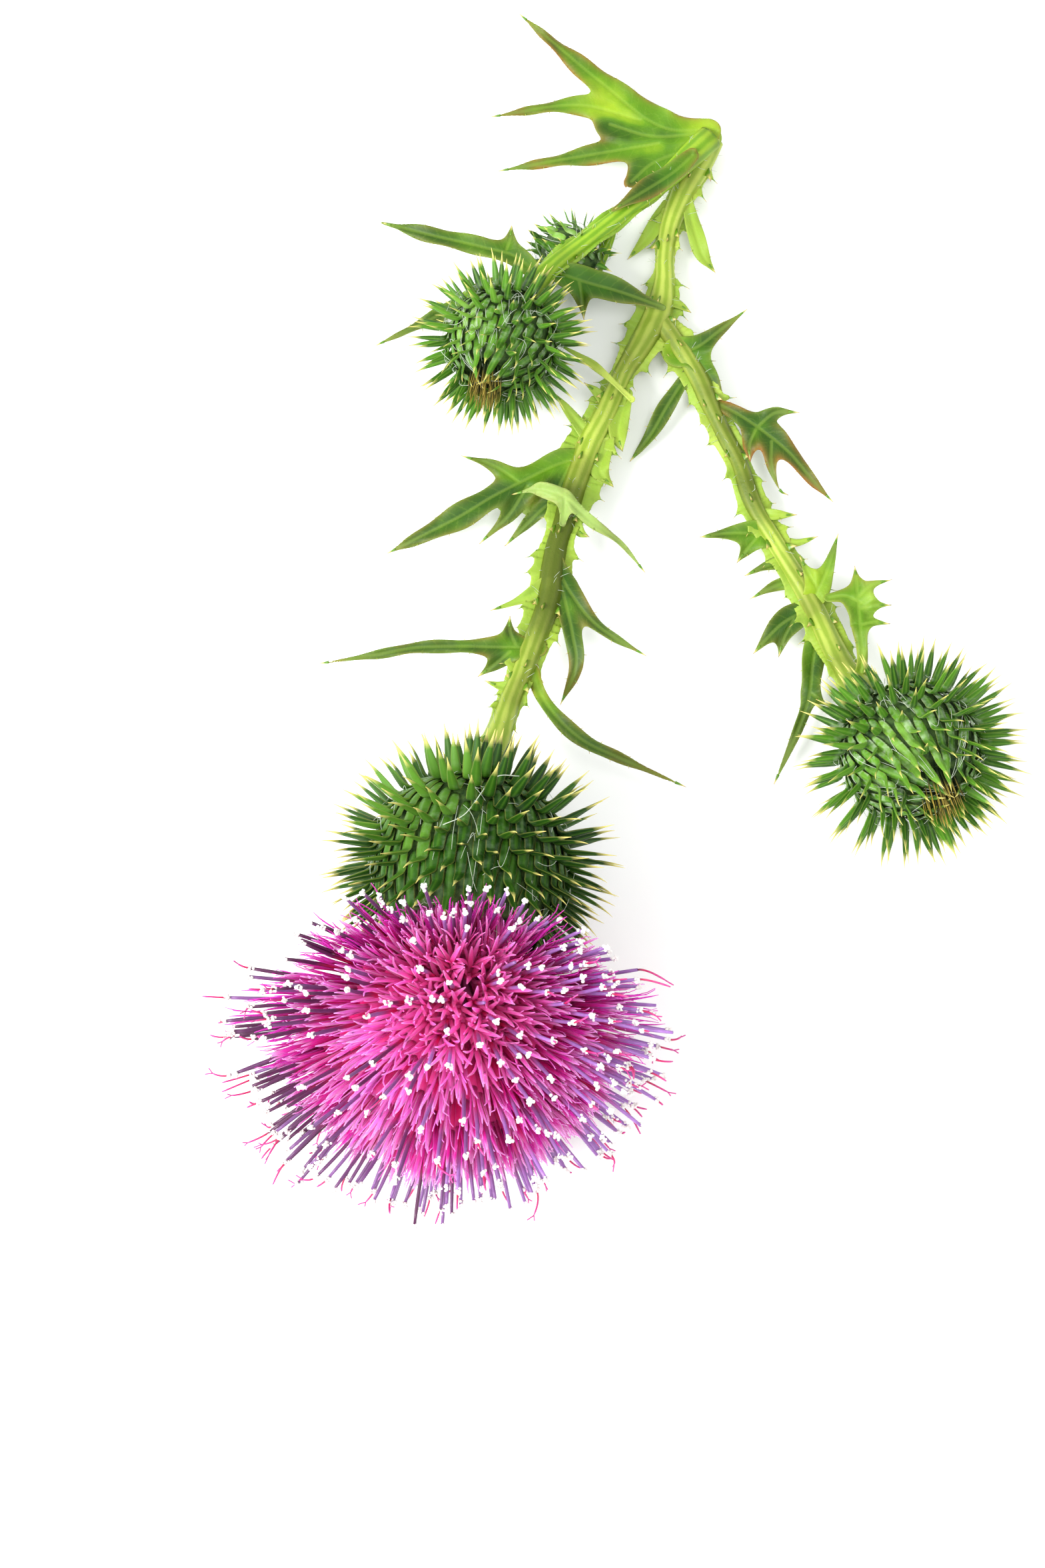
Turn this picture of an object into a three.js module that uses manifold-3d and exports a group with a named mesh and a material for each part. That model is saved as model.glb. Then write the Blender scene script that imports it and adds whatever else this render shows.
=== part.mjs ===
// A cut sprig of spear thistle lying on a flat surface: one open flower head, two large
// buds, one small bud, a forked winged stem and its spiny leaves.
// Millimetres. +Z is up, the surface is z = 0, the stem runs along Y with the cut end at +Y,
// and the origin is the middle of the sprig's footprint on the surface.

import * as THREE from "three";
import { mergeVertices } from "three/addons/utils/BufferGeometryUtils.js";
import Module from "manifold-3d";

const wasm = await Module();
wasm.setup();

// ---- Driving sizes ----

const GAP = 0.3; // clear space between neighbouring pieces
const MERGE_DISTANCE = 1e-4; // corners nearer than this are one
const STEM_SIDES = 8;
const SPINE_SIDES = 3;
const FLORET_SIDES = 4;
const BLADE_SIDES = 4;
const BLADE_HALF_THICKNESS = 0.4; // at the middle of a wide blade
const TIP_HALF_THICKNESS = 0.15; // where a blade narrows to nothing
const THICKNESS_PER_WIDTH = 1 / 3; // how fast a blade thickens as it widens
const EDGE_MARGINS = 1.5; // margins that a blade grows by sideways, because its edges are sharp
const HEAD_ROUNDNESS = 2.3; // power of a head's side curve; 2 would be an ellipse's
const CORE_MIN_RADIUS = 1;
const CORE_INSET = { open: 0.4, tipped: 1 }; // how far a core ends inside its head's mouth
const BAND_SEGMENTS = 12; // flats round a row of bracts
const SPINE_RADIUS = { large: 0.7, small: 0.42 }; // a bract's spine where it leaves the head
const LARGE_HEAD = 5; // radius from which a head has large spines
const TUFT_BASE_HEIGHT = 1.6; // the ring that a group of florets grows from
const FLOOR_CLEARANCE = 0.3; // lowest height of a spine's middle line, so that it lies on the floor
const FOOTPRINT_CENTRE = [-1.1, -0.5]; // middle of the footprint, in the axes of the points below

// The bristles that close a bud. Lengths are in millimetres and shares are of the dome's
// radius or of a bristle's length.
const BUD_TIP = {
  overMouth: 1.2, // height of the dome's shoulder above the mouth
  crown: 0.6, // height of its middle above the shoulder
  shoulderShare: 0.8,
  segments: 8,
  rootDepth: 0.8, // how far below the shoulder a bristle starts
  rootShare: 0.45,
  outwardShare: 0.35,
  bristleRadius: 0.5,
};

const ROUGHNESS = { head: 0.6, florets: 0.7, stem: 0.55, leaf: 0.6 };

// The four flower heads. centre is the middle of the widest place, axis points out of the
// head's mouth, and rows run from the stalk to the mouth. lean is a row's spine angle in
// degrees, from straight out of the head to along its axis. band is the thickness of a row
// where it wraps the head.
const HEADS = {
  flower: {
    centre: [-20.2, -37.7, 16.6],
    axis: [-0.102, -0.945, 0.311],
    radius: 11.6,
    band: 1,
    baseRadius: 4.2,
    mouthRadius: 8.6,
    halfLength: 11,
    rows: [
      { bracts: 8, spine: 5.5, lean: -12 },
      { bracts: 11, spine: 7, lean: -2 },
      { bracts: 13, spine: 7.8, lean: 8 },
      { bracts: 13, spine: 7.6, lean: 18 },
      { bracts: 12, spine: 6.5, lean: 26 },
      { bracts: 11, spine: 5, lean: 30 },
    ],
  },
  right_bud: {
    centre: [33.6, -22.0, 12.0],
    axis: [0.432, -0.736, 0.522],
    radius: 9.3,
    band: 1,
    baseRadius: 3.4,
    mouthRadius: 4.4,
    halfLength: 8.6,
    rows: [
      { bracts: 8, spine: 4.5, lean: -10 },
      { bracts: 10, spine: 6, lean: 5 },
      { bracts: 10, spine: 6, lean: 22 },
      { bracts: 8, spine: 5, lean: 45 },
    ],
    tip: { bristles: 6, length: 4 },
  },
  left_bud: {
    centre: [-16.8, 34.6, 11.0],
    axis: [-0.347, -0.851, 0.395],
    radius: 8.3,
    band: 1,
    baseRadius: 3.0,
    mouthRadius: 4.0,
    halfLength: 7.6,
    rows: [
      { bracts: 8, spine: 4, lean: -10 },
      { bracts: 9, spine: 5.2, lean: 5 },
      { bracts: 9, spine: 5.2, lean: 22 },
      { bracts: 7, spine: 4.5, lean: 45 },
    ],
    tip: { bristles: 6, length: 3.6 },
  },
  small_bud: {
    centre: [-9.2, 49.3, 3.9],
    axis: [-0.82, 0.35, 0.45],
    radius: 3.6,
    band: 0.6,
    baseRadius: 2,
    mouthRadius: 2,
    halfLength: 3.4,
    rows: [
      { bracts: 6, spine: 2.6, lean: 5 },
      { bracts: 6, spine: 2.6, lean: 45 },
    ],
  },
};

// The tuft of florets leans a little to the left of its head's own axis. rings gives, for
// each ring of a group, the number of florets and their angle from the tuft's axis.
const TUFT = {
  fanCentre: [-24.2, -57.6, 23.3], // the florets' tips lie on a ball round this point
  axis: [-0.266, -0.912, 0.313],
  reach: 26, // radius of that ball
  groups: [
    { name: "florets_outer", colour: 0xc22c92, inner: 4.9, outer: 7.1, rings: [[12, 78], [9, 57]] },
    { name: "florets_middle", colour: 0xa8328f, inner: 2.6, outer: 4.6, rings: [[7, 37]] },
    { name: "florets_inner", colour: 0x8b2a86, inner: 0, outer: 2.3, rings: [[4, 16]] },
  ],
  baseWidth: 0.7,
  tipWidth: 1.5,
};

// Stems: rows are points from the older end to the younger one, and the radius at each. A
// stem then ends at the base of the head that it carries, with seatRadius.
const STEMS = {
  main_stem: {
    colour: 0x8fa84a,
    rows: [
      [11, 66, 2.3, 2.3], [8, 60, 2.3, 2.3], [6, 53.5, 2.4, 2.2], [4.5, 47, 2.6, 2.1],
      [3, 40, 2.9, 2.2], [0.5, 34.5, 3.2, 1.9], [-2, 28.5, 3.6, 1.8], [-5, 22, 4.1, 1.75],
      [-8, 14.5, 4.8, 1.7], [-10, 7, 5.6, 1.65], [-12, -0.5, 6.6, 1.65], [-14, -8, 7.9, 1.65],
      [-16, -15.5, 9.7, 1.8], [-18, -22.6, 12, 2.2],
    ],
    seatRadius: 2.7,
    carries: "flower",
  },
  left_bud_stalk: {
    colour: 0x9cc23a,
    rows: [
      [9, 62.5, 3, 1.2], [4.5, 58.6, 4.2, 1.3], [-0.8, 53.3, 6.4, 1.25], [-6.2, 48.2, 8.4, 1.2],
      [-11.5, 44.1, 8.8, 1.3],
    ],
    seatRadius: 1.7,
    carries: "left_bud",
  },
  small_bud_stalk: {
    colour: 0x9cc23a,
    rows: [
      [-2.6, 51.8, 6.6, 0.7], [-3.4, 49.6, 4.2, 0.7], [-5, 48.2, 3.2, 0.8],
    ],
    seatRadius: 0.9,
    carries: "small_bud",
  },
  right_branch: {
    colour: 0x8fa84a,
    rows: [
      [3.5, 39, 2.9, 1.5], [7, 33.5, 3, 1.6], [9.5, 28, 3, 1.5], [12.8, 20, 2.8, 1.4],
      [16, 12, 2.7, 1.4], [18.8, 7, 2.8, 1.35], [21, 2.5, 3, 1.35], [23.5, -3, 3.8, 1.4],
      [26, -8, 5.2, 1.5], [28.6, -13.2, 6.7, 1.8],
    ],
    seatRadius: 2.2,
    carries: "right_bud",
  },
};

// Wings: flat spiny lobes that run down the stems and are one piece with them. A lobe's rows
// are points and the half-width at each; a last half-width of 0 is a point.
const WINGS = {
  main_stem: [
    [[7, 57.5, 2.6, 0.6], [8.3, 51.5, 2.8, 1.1], [9.3, 48.5, 2.4, 0.9], [11, 46.5, 1.5, 0]],
    [[4.5, 56, 2.6, 0.6], [2.2, 51.5, 2.4, 1], [-0.7, 48.5, 1.3, 0]],
    [[4, 42, 3.2, 1], [5.8, 41.2, 3.6, 0.7], [7.6, 40.2, 3.2, 0]],
    [[-1, 28.5, 3.6, 0.8], [-2.2, 23, 4.2, 1.2], [-1.6, 20.5, 4, 0]],
    [[-3.5, 21.5, 4.2, 0.8], [-4.6, 17.5, 4.7, 1.2], [-2.8, 15.5, 4.4, 0]],
    [[-8, 11, 5.2, 0.8], [-7.2, 9, 5.4, 0.6], [-6, 8.4, 5.2, 0]],
    [[-15.5, -13, 9, 0.9], [-18.3, -12.4, 9.2, 0]],
  ],
  right_branch: [
    [[16.2, 12.3, 2.8, 0.9], [18.3, 12, 3.4, 0.6], [21, 12, 3.6, 0]],
    [[18.3, 8.6, 2.8, 0.9], [20.8, 8.2, 3.4, 0.6], [23.6, 9, 3.8, 0]],
  ],
};

// Leaves: each is a few flat tapering lobes, with rows as above. A lobe starts at the stem or
// at the leaf's midrib.
const LEAVES = {
  top_leaf: {
    colour: 0x5f8a22,
    lobes: [
      [[9.5, 65.5, 5.2, 1.5], [4, 66, 5.4, 3.2], [-4.3, 74, 5, 2.5], [-14.7, 82.6, 4, 0]],
      [[9, 65.5, 5.2, 1.5], [2.5, 65.2, 5.2, 3.6], [-4.3, 66.4, 5, 2.6]],
      [[1, 67.2, 5, 3], [-7, 69.1, 5.1, 1.9], [-18.2, 67.3, 5.4, 0]],
      [[2.8, 63.8, 5, 2.4], [-6.1, 61.9, 4.6, 1.7], [-17.2, 60.3, 3.6, 0]],
    ],
  },
  axil_leaf: {
    colour: 0x3f5f20,
    lobes: [
      [[9.8, 64.4, 4.4, 0.9], [6, 59.6, 6.8, 1.5], [1.6, 55.3, 8.4, 1.6], [-2, 51.8, 9.2, 0]],
    ],
  },
  left_bud_leaf_inner: {
    colour: 0x3f5f20,
    lobes: [
      [[-11, 44.4, 8.2, 0.8], [-6.3, 42.4, 8, 1.8], [-1.9, 41.3, 7.2, 1.3], [3.3, 40.2, 6, 0]],
      [[-7.2, 42.4, 7.8, 1], [-6.6, 38, 7, 0]],
    ],
  },
  left_bud_leaf_upper: {
    colour: 0x5a8428,
    lobes: [
      [
        [-12.4, 43.6, 8.6, 0.6], [-15.6, 46.4, 9, 1.1], [-19.5, 47.4, 9, 1],
        [-26.3, 48.9, 8.8, 0.8], [-32.7, 50.8, 7.6, 0],
      ],
      [[-16.7, 46.6, 8.8, 0.8], [-16, 49.7, 9.3, 0]],
    ],
  },
  left_bud_leaf_lower: {
    colour: 0x5a8428,
    lobes: [
      [[-13.2, 42.6, 7.6, 0.7], [-18.6, 44, 4.8, 0.8], [-25, 40.6, 3, 0.8], [-33.8, 36.2, 2, 0]],
    ],
  },
  prickle_leaf: {
    colour: 0x9aa83e,
    lobes: [
      [[-1.6, 28, 3.8, 0.6], [-3.8, 31.6, 3.2, 0.5], [-6.6, 36.2, 2.2, 0]],
    ],
  },
  fork_leaf: {
    colour: 0x6c9a2c,
    lobes: [
      [[7.2, 33.8, 3.4, 1.5], [10.4, 36.8, 4.2, 1.4], [14.6, 39.6, 5, 0]],
    ],
  },
  under_fork_leaf: {
    colour: 0x3f5f20,
    lobes: [
      [[7, 31.6, 3, 0.7], [4.2, 27.2, 2.4, 1.1], [2, 23.4, 1.8, 0.9], [-0.6, 20.2, 1, 0]],
    ],
  },
  lobed_leaf: {
    colour: 0x6f9a30,
    lobes: [
      [
        [10.5, 26.4, 3.2, 1], [13.5, 26.2, 4.4, 1.6], [17, 23.2, 5.2, 1.6], [20.4, 19.3, 6, 1.4],
        [23, 15.7, 5.5, 0.9], [25, 13.8, 4.8, 0],
      ],
      [[16.2, 24, 5, 1.2], [18.4, 25.4, 5.6, 0.7], [20.9, 25.4, 6, 0]],
      [[15.8, 23.6, 5, 1.1], [14.9, 19.6, 4.8, 0]],
      [[18.2, 21.6, 5.5, 1.1], [18, 18, 5.6, 0.7], [18.8, 15.1, 4.8, 0]],
    ],
  },
  branch_leaf: {
    colour: 0x5f8a28,
    lobes: [
      [[16.8, 9.6, 2.7, 1.6], [12.4, 9.4, 3, 1.1], [8.3, 9.3, 2.6, 0]],
      [[15.6, 8.8, 2.8, 1], [13.1, 5.9, 2.2, 0]],
    ],
  },
  branch_spur_upper: {
    colour: 0x5f8a28,
    lobes: [
      [[19.2, 5.9, 2.8, 0.8], [16.6, 5.2, 2.6, 0.6], [14, 4.1, 2.2, 0]],
    ],
  },
  branch_spur_lower: {
    colour: 0x5f8a28,
    lobes: [
      [[20.6, 3.2, 2.9, 0.8], [17.8, 2.6, 2.4, 0.6], [14.7, 1.1, 1.8, 0]],
    ],
  },
  shoulder_leaf: {
    colour: 0x5f8a28,
    lobes: [
      [[22.2, -0.4, 3.2, 0.8], [23.6, 1.8, 4.6, 1], [24.6, 4.2, 5.2, 0.9], [26, 8.7, 6, 0]],
      [[23.4, 2.2, 4.6, 0.8], [21, 6, 4.8, 0]],
    ],
  },
  tall_leaf: {
    colour: 0x7fae2a,
    lobes: [
      [
        [28, -11.8, 6.4, 0.9], [29, -9.6, 8.6, 1.3], [28.3, -5.2, 8.7, 1.2], [28, -1.2, 8.5, 1.1],
        [27.8, 3.2, 8, 0],
      ],
      [[28.1, -0.4, 8.5, 0.9], [31.6, 1.5, 9, 0]],
      [[28.1, -2, 8.5, 0.9], [31.7, -2, 9, 0]],
      [[28.2, -4.2, 8.6, 0.9], [31.6, -4.5, 9, 0]],
      [[28.3, -0.6, 8.5, 1], [24.8, 0.2, 7.8, 0]],
    ],
  },
  dark_leaf: {
    colour: 0x3f5f20,
    lobes: [
      [[22.4, -0.8, 3.2, 1.4], [18.8, -2.6, 3, 1.5], [15, -6.4, 2.2, 0]],
      [[19.8, -2.4, 3, 1.1], [18.3, -6.8, 2.2, 0]],
    ],
  },
  hanging_leaf: {
    colour: 0x6c9a2c,
    lobes: [
      [
        [23.4, -3.2, 3.6, 1.3], [22.6, -7.6, 3.6, 1.6], [21.9, -12.8, 3.2, 0.8],
        [20.2, -17.4, 2.4, 0.7], [17.4, -23.6, 1.4, 0],
      ],
      [[22.2, -12, 3.4, 0.6], [24, -13.4, 3, 0]],
    ],
  },
  left_stem_leaf: {
    colour: 0x5f8a22,
    lobes: [
      [
        [-6, 20, 4.5, 1.6], [-9.8, 19.6, 5, 2.2], [-13.6, 16.6, 5.4, 1.7], [-18.4, 13.8, 5.4, 1.7],
        [-22.7, 11.1, 4.8, 1.9], [-31.6, 7.2, 2.6, 0],
      ],
      [[-15.8, 16, 5.4, 1.2], [-18.8, 17.4, 6, 0.8], [-21.9, 18.9, 6.4, 0]],
      [[-14.5, 14.9, 5.2, 1.4], [-16.7, 11.4, 4.4, 0.9], [-19.7, 8.8, 3, 0]],
      [[-8.6, 14.6, 4.8, 1.6], [-12, 12.6, 4.5, 1.2], [-16.3, 8.5, 3, 0]],
      [[-9, 18.4, 4.8, 1.8], [-10.4, 14, 4.8, 1.2]],
    ],
  },
  arching_leaf: {
    colour: 0x8db54a,
    lobes: [
      [
        [-15.8, 13.8, 7.4, 0.7], [-12.6, 13.6, 8.8, 0.8], [-9.1, 11.8, 9.4, 0.9],
        [-6.1, 9.3, 8.6, 0.9], [-2.1, 7.2, 7, 0.7], [0.8, 4.3, 5, 0],
      ],
      [[-9.4, 11.6, 9.2, 0.7], [-9.8, 9.2, 7.6, 0.5]],
    ],
  },
  forked_leaf: {
    colour: 0x5f8a22,
    lobes: [
      [[-11, 3.6, 6, 1.4], [-7.8, -0.6, 7, 1.8], [-4.3, -4, 7.4, 1.3], [0.8, -7.5, 6.4, 0]],
      [[-8, -0.4, 6.9, 1.6], [-7.4, -6.1, 7.4, 1.3], [-7, -9.6, 6.8, 1.2], [-9.3, -13.1, 4, 0]],
    ],
  },
  pale_leaf: {
    colour: 0x9dbb66,
    lobes: [
      [[-12, 0.2, 6.6, 1], [-15.4, -0.7, 7.2, 0.8], [-18.5, -2, 7.2, 0]],
    ],
  },
  long_left_leaf: {
    colour: 0x5f8a22,
    lobes: [
      [
        [-13.9, -7.6, 7.9, 0.8], [-17.8, -7.7, 8.8, 1.1], [-23, -7.8, 9.2, 1],
        [-28.2, -7.8, 9.2, 0.9], [-33.3, -8.4, 8.8, 0.7], [-39.9, -8.7, 7.8, 0],
      ],
      [[-17.9, -7.8, 8.8, 0.7], [-17.5, -4.6, 9.6, 0]],
      [[-18.9, -8, 8.8, 0.7], [-20.9, -10.7, 8, 0]],
    ],
  },
  low_right_leaf: {
    colour: 0x6c9a2c,
    lobes: [
      [
        [-14.8, -10.4, 8.5, 0.9], [-12, -14, 9.2, 1], [-9.9, -17.2, 9.4, 1], [-6.6, -20, 9.2, 0.9],
        [-2.5, -21.6, 8.6, 0.8], [5.5, -24.8, 6.4, 0],
      ],
      [[-13, -12, 9, 0.7], [-11.6, -10.6, 9.8, 0]],
    ],
  },
};

const COLOURS = { bracts: 0x4f7a33, receptacle: 0x9fb37a, budTip: 0x9a7b2e };

const UP = new THREE.Vector3(0, 0, 1);
const RIGHT = new THREE.Vector3(1, 0, 0);
const NEARLY_UPRIGHT = 0.95; // upward share of a direction past which UP is no guide across it
const vector = ([x, y, z]) => new THREE.Vector3(x, y, z);

// ---- Solids ----

// Turns a closed geometry into a solid that faces out.
function solidOf(geometry) {
  geometry.deleteAttribute("normal");
  geometry.deleteAttribute("uv");
  const merged = mergeVertices(geometry, MERGE_DISTANCE);
  const triVerts = new Uint32Array(merged.index.array);
  const vertProperties = merged.attributes.position.array;
  const solid = new wasm.Manifold(new wasm.Mesh({ numProp: 3, vertProperties, triVerts }));
  if (solid.volume() > 0) return solid;
  for (let i = 0; i < triVerts.length; i += 3) {
    const first = triVerts[i];
    triVerts[i] = triVerts[i + 1];
    triVerts[i + 1] = first;
  }
  return new wasm.Manifold(new wasm.Mesh({ numProp: 3, vertProperties, triVerts }));
}

function geometryOf(solid) {
  const mesh = solid.getMesh();
  const geometry = new THREE.BufferGeometry();
  geometry.setAttribute("position", new THREE.BufferAttribute(mesh.vertProperties, 3));
  geometry.setIndex(new THREE.BufferAttribute(mesh.triVerts, 1));
  const flat = geometry.toNonIndexed();
  flat.computeVertexNormals();
  return flat;
}

const join = (solids) => solids.reduce((whole, solid) => whole.add(solid));

// A tapering closed bar along a path. Its section is an ellipse with `sides` corners, half
// `widths` across and half `heights` thick; a last width of 0 ends it in a point. Nothing
// reaches below the surface.
function bar(points, widths, heights, sides) {
  const positions = [];
  const indices = [];
  const pointed = widths.at(-1) === 0;
  const rings = pointed ? points.length - 1 : points.length;
  const addVertex = (p) => positions.push(p.x, p.y, Math.max(p.z, 0));
  for (let i = 0; i < rings; i++) {
    const before = points[Math.max(i - 1, 0)];
    const after = points[Math.min(i + 1, points.length - 1)];
    const ahead = after.clone().sub(before).normalize();
    const upright = Math.abs(ahead.z) > NEARLY_UPRIGHT;
    const side = ahead.clone().cross(upright ? RIGHT : UP).normalize();
    const over = side.clone().cross(ahead).normalize();
    for (let k = 0; k < sides; k++) {
      const turn = (2 * Math.PI * k) / sides;
      const vertex = points[i].clone();
      vertex.addScaledVector(side, widths[i] * Math.cos(turn));
      vertex.addScaledVector(over, heights[i] * Math.sin(turn));
      addVertex(vertex);
    }
  }
  for (let i = 0; i + 1 < rings; i++)
    for (let k = 0; k < sides; k++) {
      const a = i * sides + k;
      const b = i * sides + ((k + 1) % sides);
      indices.push(a, b, a + sides, b, b + sides, a + sides);
    }
  for (let k = 1; k + 1 < sides; k++) indices.push(0, k + 1, k);
  const last = (rings - 1) * sides;
  if (pointed) {
    addVertex(points.at(-1));
    for (let k = 0; k < sides; k++) indices.push(last + k, last + ((k + 1) % sides), rings * sides);
  } else for (let k = 1; k + 1 < sides; k++) indices.push(last, last + k, last + k + 1);
  const geometry = new THREE.BufferGeometry();
  geometry.setAttribute("position", new THREE.Float32BufferAttribute(positions, 3));
  geometry.setIndex(indices);
  return solidOf(geometry);
}

// A lobe's points and half-widths. One with up to three rows gets another rounded corner
// between each two.
function eased(rows) {
  const curve = new THREE.CatmullRomCurve3(rows.map(vector), false, "centripetal");
  const spans = rows.length - 1;
  const steps = spans * (rows.length > 3 ? 1 : 2);
  const points = [];
  const halfWidths = [];
  for (let i = 0; i <= steps; i++) {
    const t = (i / steps) * spans;
    const from = Math.min(Math.floor(t), spans - 1);
    points.push(curve.getPoint(t / spans));
    halfWidths.push(THREE.MathUtils.lerp(rows[from][3], rows[from + 1][3], t - from));
  }
  return { points, halfWidths };
}

// Moves a path's first and last points outwards by the margin that a clearance needs.
function lengthened(points, margin) {
  if (!margin) return points;
  const longer = points.map((p) => p.clone());
  const start = points[0].clone().sub(points[1]).setLength(margin);
  const end = points.at(-1).clone().sub(points.at(-2)).setLength(2 * margin);
  longer[0].add(start);
  longer.at(-1).add(end);
  return longer;
}

function stemSolid({ rows, seatRadius, carries }, margin) {
  const head = HEADS[carries];
  const back = vector(head.axis).setLength(-head.halfLength - GAP);
  const seat = vector(head.centre).add(back);
  const wide = [...rows.map((row) => row[3]), seatRadius].map((radius) => radius + margin);
  return bar(lengthened([...rows.map(vector), seat], margin), wide, wide, STEM_SIDES);
}

function bladeSolid(rows, margin) {
  const { points, halfWidths } = eased(rows);
  const wide = halfWidths.map((w) => (w === 0 && !margin ? 0 : w + EDGE_MARGINS * margin));
  const thick = halfWidths.map(
    (w) => Math.min(BLADE_HALF_THICKNESS, TIP_HALF_THICKNESS + w * THICKNESS_PER_WIDTH) + margin,
  );
  return bar(lengthened(points, margin), wide, thick, BLADE_SIDES);
}

// ---- Flower heads ----

// Radius of a head at the distance s along its axis from its widest place.
function headRadius(head, s) {
  const end = s < 0 ? head.baseRadius : head.mouthRadius;
  const share = Math.min(1, Math.abs(s) / head.halfLength);
  return end + (head.radius - end) * (1 - share ** HEAD_ROUNDNESS);
}

// Moves a solid made along +Z at the origin to its head's place and direction.
function placedOn(head, geometry) {
  const turn = new THREE.Quaternion().setFromUnitVectors(UP, vector(head.axis).normalize());
  const frame = new THREE.Matrix4().compose(vector(head.centre), turn, new THREE.Vector3(1, 1, 1));
  return solidOf(geometry.applyMatrix4(frame));
}

// Directions of a head: along its axis, and outwards at an angle round it.
function headDirections(head) {
  const along = vector(head.axis).normalize();
  const across = along.clone().cross(UP).normalize();
  const over = across.clone().cross(along).normalize();
  const outwards = (angle) =>
    across.clone().multiplyScalar(Math.cos(angle)).addScaledVector(over, Math.sin(angle));
  return { along, outwards };
}

// A solid turned round the head's axis, from pairs of radius and distance along the axis.
function turned(head, profile, segments = BAND_SEGMENTS) {
  const points = profile.map(([radius, s]) => new THREE.Vector2(radius, s));
  const geometry = new THREE.LatheGeometry(points, segments);
  geometry.rotateX(Math.PI / 2);
  return placedOn(head, geometry);
}

function coreSolid(head, margin) {
  const inset = head.band + GAP - margin;
  const top = head.halfLength - (head.tip ? CORE_INSET.tipped : CORE_INSET.open) + margin;
  const bottom = -head.halfLength - margin;
  const profile = [[0, bottom]];
  const steps = 2 * head.rows.length;
  for (let i = 0; i <= steps; i++) {
    const s = -head.halfLength + (2 * head.halfLength * i) / steps;
    const radius = Math.max(headRadius(head, s) - inset, CORE_MIN_RADIUS);
    profile.push([radius, THREE.MathUtils.clamp(s, bottom, top)]);
  }
  profile[1][1] = bottom;
  profile.push([0, top]);
  return turned(head, profile);
}

function bractRowSolid(head, index, margin) {
  const { bracts, spine, lean } = head.rows[index];
  const height = (2 * head.halfLength) / head.rows.length;
  const low = -head.halfLength + index * height + GAP / 2 - margin;
  const high = -head.halfLength + (index + 1) * height - GAP / 2 + margin;
  const middle = (low + high) / 2;
  const outer = (s) => headRadius(head, s) + margin;
  const inner = (s) => headRadius(head, s) - head.band - margin;
  const ring = turned(head, [
    [outer(low), low], [outer(middle), middle], [outer(high), high],
    [inner(high), high], [inner(middle), middle], [inner(low), low], [outer(low), low],
  ]);
  const { along, outwards } = headDirections(head);
  const leanAngle = THREE.MathUtils.degToRad(lean);
  const spines = [];
  for (let i = 0; i < bracts; i++) {
    const out = outwards((2 * Math.PI * (i + (index % 2) / 2)) / bracts);
    const root = vector(head.centre)
      .addScaledVector(along, middle)
      .addScaledVector(out, headRadius(head, middle) - head.band / 2);
    const tip = root.clone()
      .addScaledVector(out, (spine + head.band / 2) * Math.cos(leanAngle))
      .addScaledVector(along, spine * Math.sin(leanAngle));
    tip.z = Math.max(tip.z, 0);
    root.z = Math.max(root.z, FLOOR_CLEARANCE);
    const wide = (head.radius > LARGE_HEAD ? SPINE_RADIUS.large : SPINE_RADIUS.small) + margin;
    const widths = margin ? [wide, margin] : [wide, 0];
    spines.push(bar(lengthened([root, tip], margin), widths, widths, SPINE_SIDES));
  }
  return join([ring, ...spines]);
}

// The bristles that close a bud: a low dome with a ring of points.
function budTipSolid(head, margin) {
  const { bristles, length } = head.tip;
  const low = head.halfLength - CORE_INSET.tipped + GAP - margin;
  const high = head.halfLength + BUD_TIP.overMouth;
  const radius = head.mouthRadius - head.band - GAP + margin;
  const shoulder = [radius * BUD_TIP.shoulderShare, high];
  const profile = [[0, low], [radius, low], shoulder, [0, high + BUD_TIP.crown]];
  const dome = turned(head, profile, BUD_TIP.segments);
  const { along, outwards } = headDirections(head);
  const points = [];
  for (let i = 0; i < bristles; i++) {
    const out = outwards((2 * Math.PI * i) / bristles);
    const root = vector(head.centre)
      .addScaledVector(along, high - BUD_TIP.rootDepth)
      .addScaledVector(out, radius * BUD_TIP.rootShare);
    const tip = root.clone()
      .addScaledVector(along, length)
      .addScaledVector(out, length * BUD_TIP.outwardShare);
    const wide = BUD_TIP.bristleRadius + margin;
    points.push(bar([root, tip], [wide, margin], [wide, margin], SPINE_SIDES));
  }
  return join([dome, ...points]);
}

function floretsSolid({ inner, outer, rings }, margin) {
  const head = HEADS.flower;
  const low = head.halfLength - CORE_INSET.open + GAP - margin;
  const high = low + TUFT_BASE_HEIGHT + 2 * margin;
  const from = Math.max(inner - margin, 0);
  const to = outer + margin;
  const closed = [[from, low], [to, low], [to, high], [from, high], [from, low]];
  const base = turned(head, from > 0 ? closed : closed.slice(0, 4));
  const { along, outwards } = headDirections(head);
  const tuft = headDirections(TUFT);
  const rays = rings.flatMap(([count, spread]) =>
    Array.from({ length: count }, (_, i) => {
      const turn = (2 * Math.PI * (i + 0.5)) / count;
      const root = vector(head.centre)
        .addScaledVector(along, high - TUFT_BASE_HEIGHT / 2)
        .addScaledVector(outwards(turn), (inner + outer) / 2);
      const angle = THREE.MathUtils.degToRad(spread);
      const tip = vector(TUFT.fanCentre)
        .addScaledVector(tuft.along, TUFT.reach * Math.cos(angle))
        .addScaledVector(tuft.outwards(turn), TUFT.reach * Math.sin(angle));
      tip.z = Math.max(tip.z, FLOOR_CLEARANCE);
      const widths = [TUFT.baseWidth + margin, TUFT.tipWidth + margin];
      return bar(lengthened([root, tip], margin), widths, widths, FLORET_SIDES);
    }),
  );
  return join([base, ...rays]);
}

// ---- Assembly ----

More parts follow.
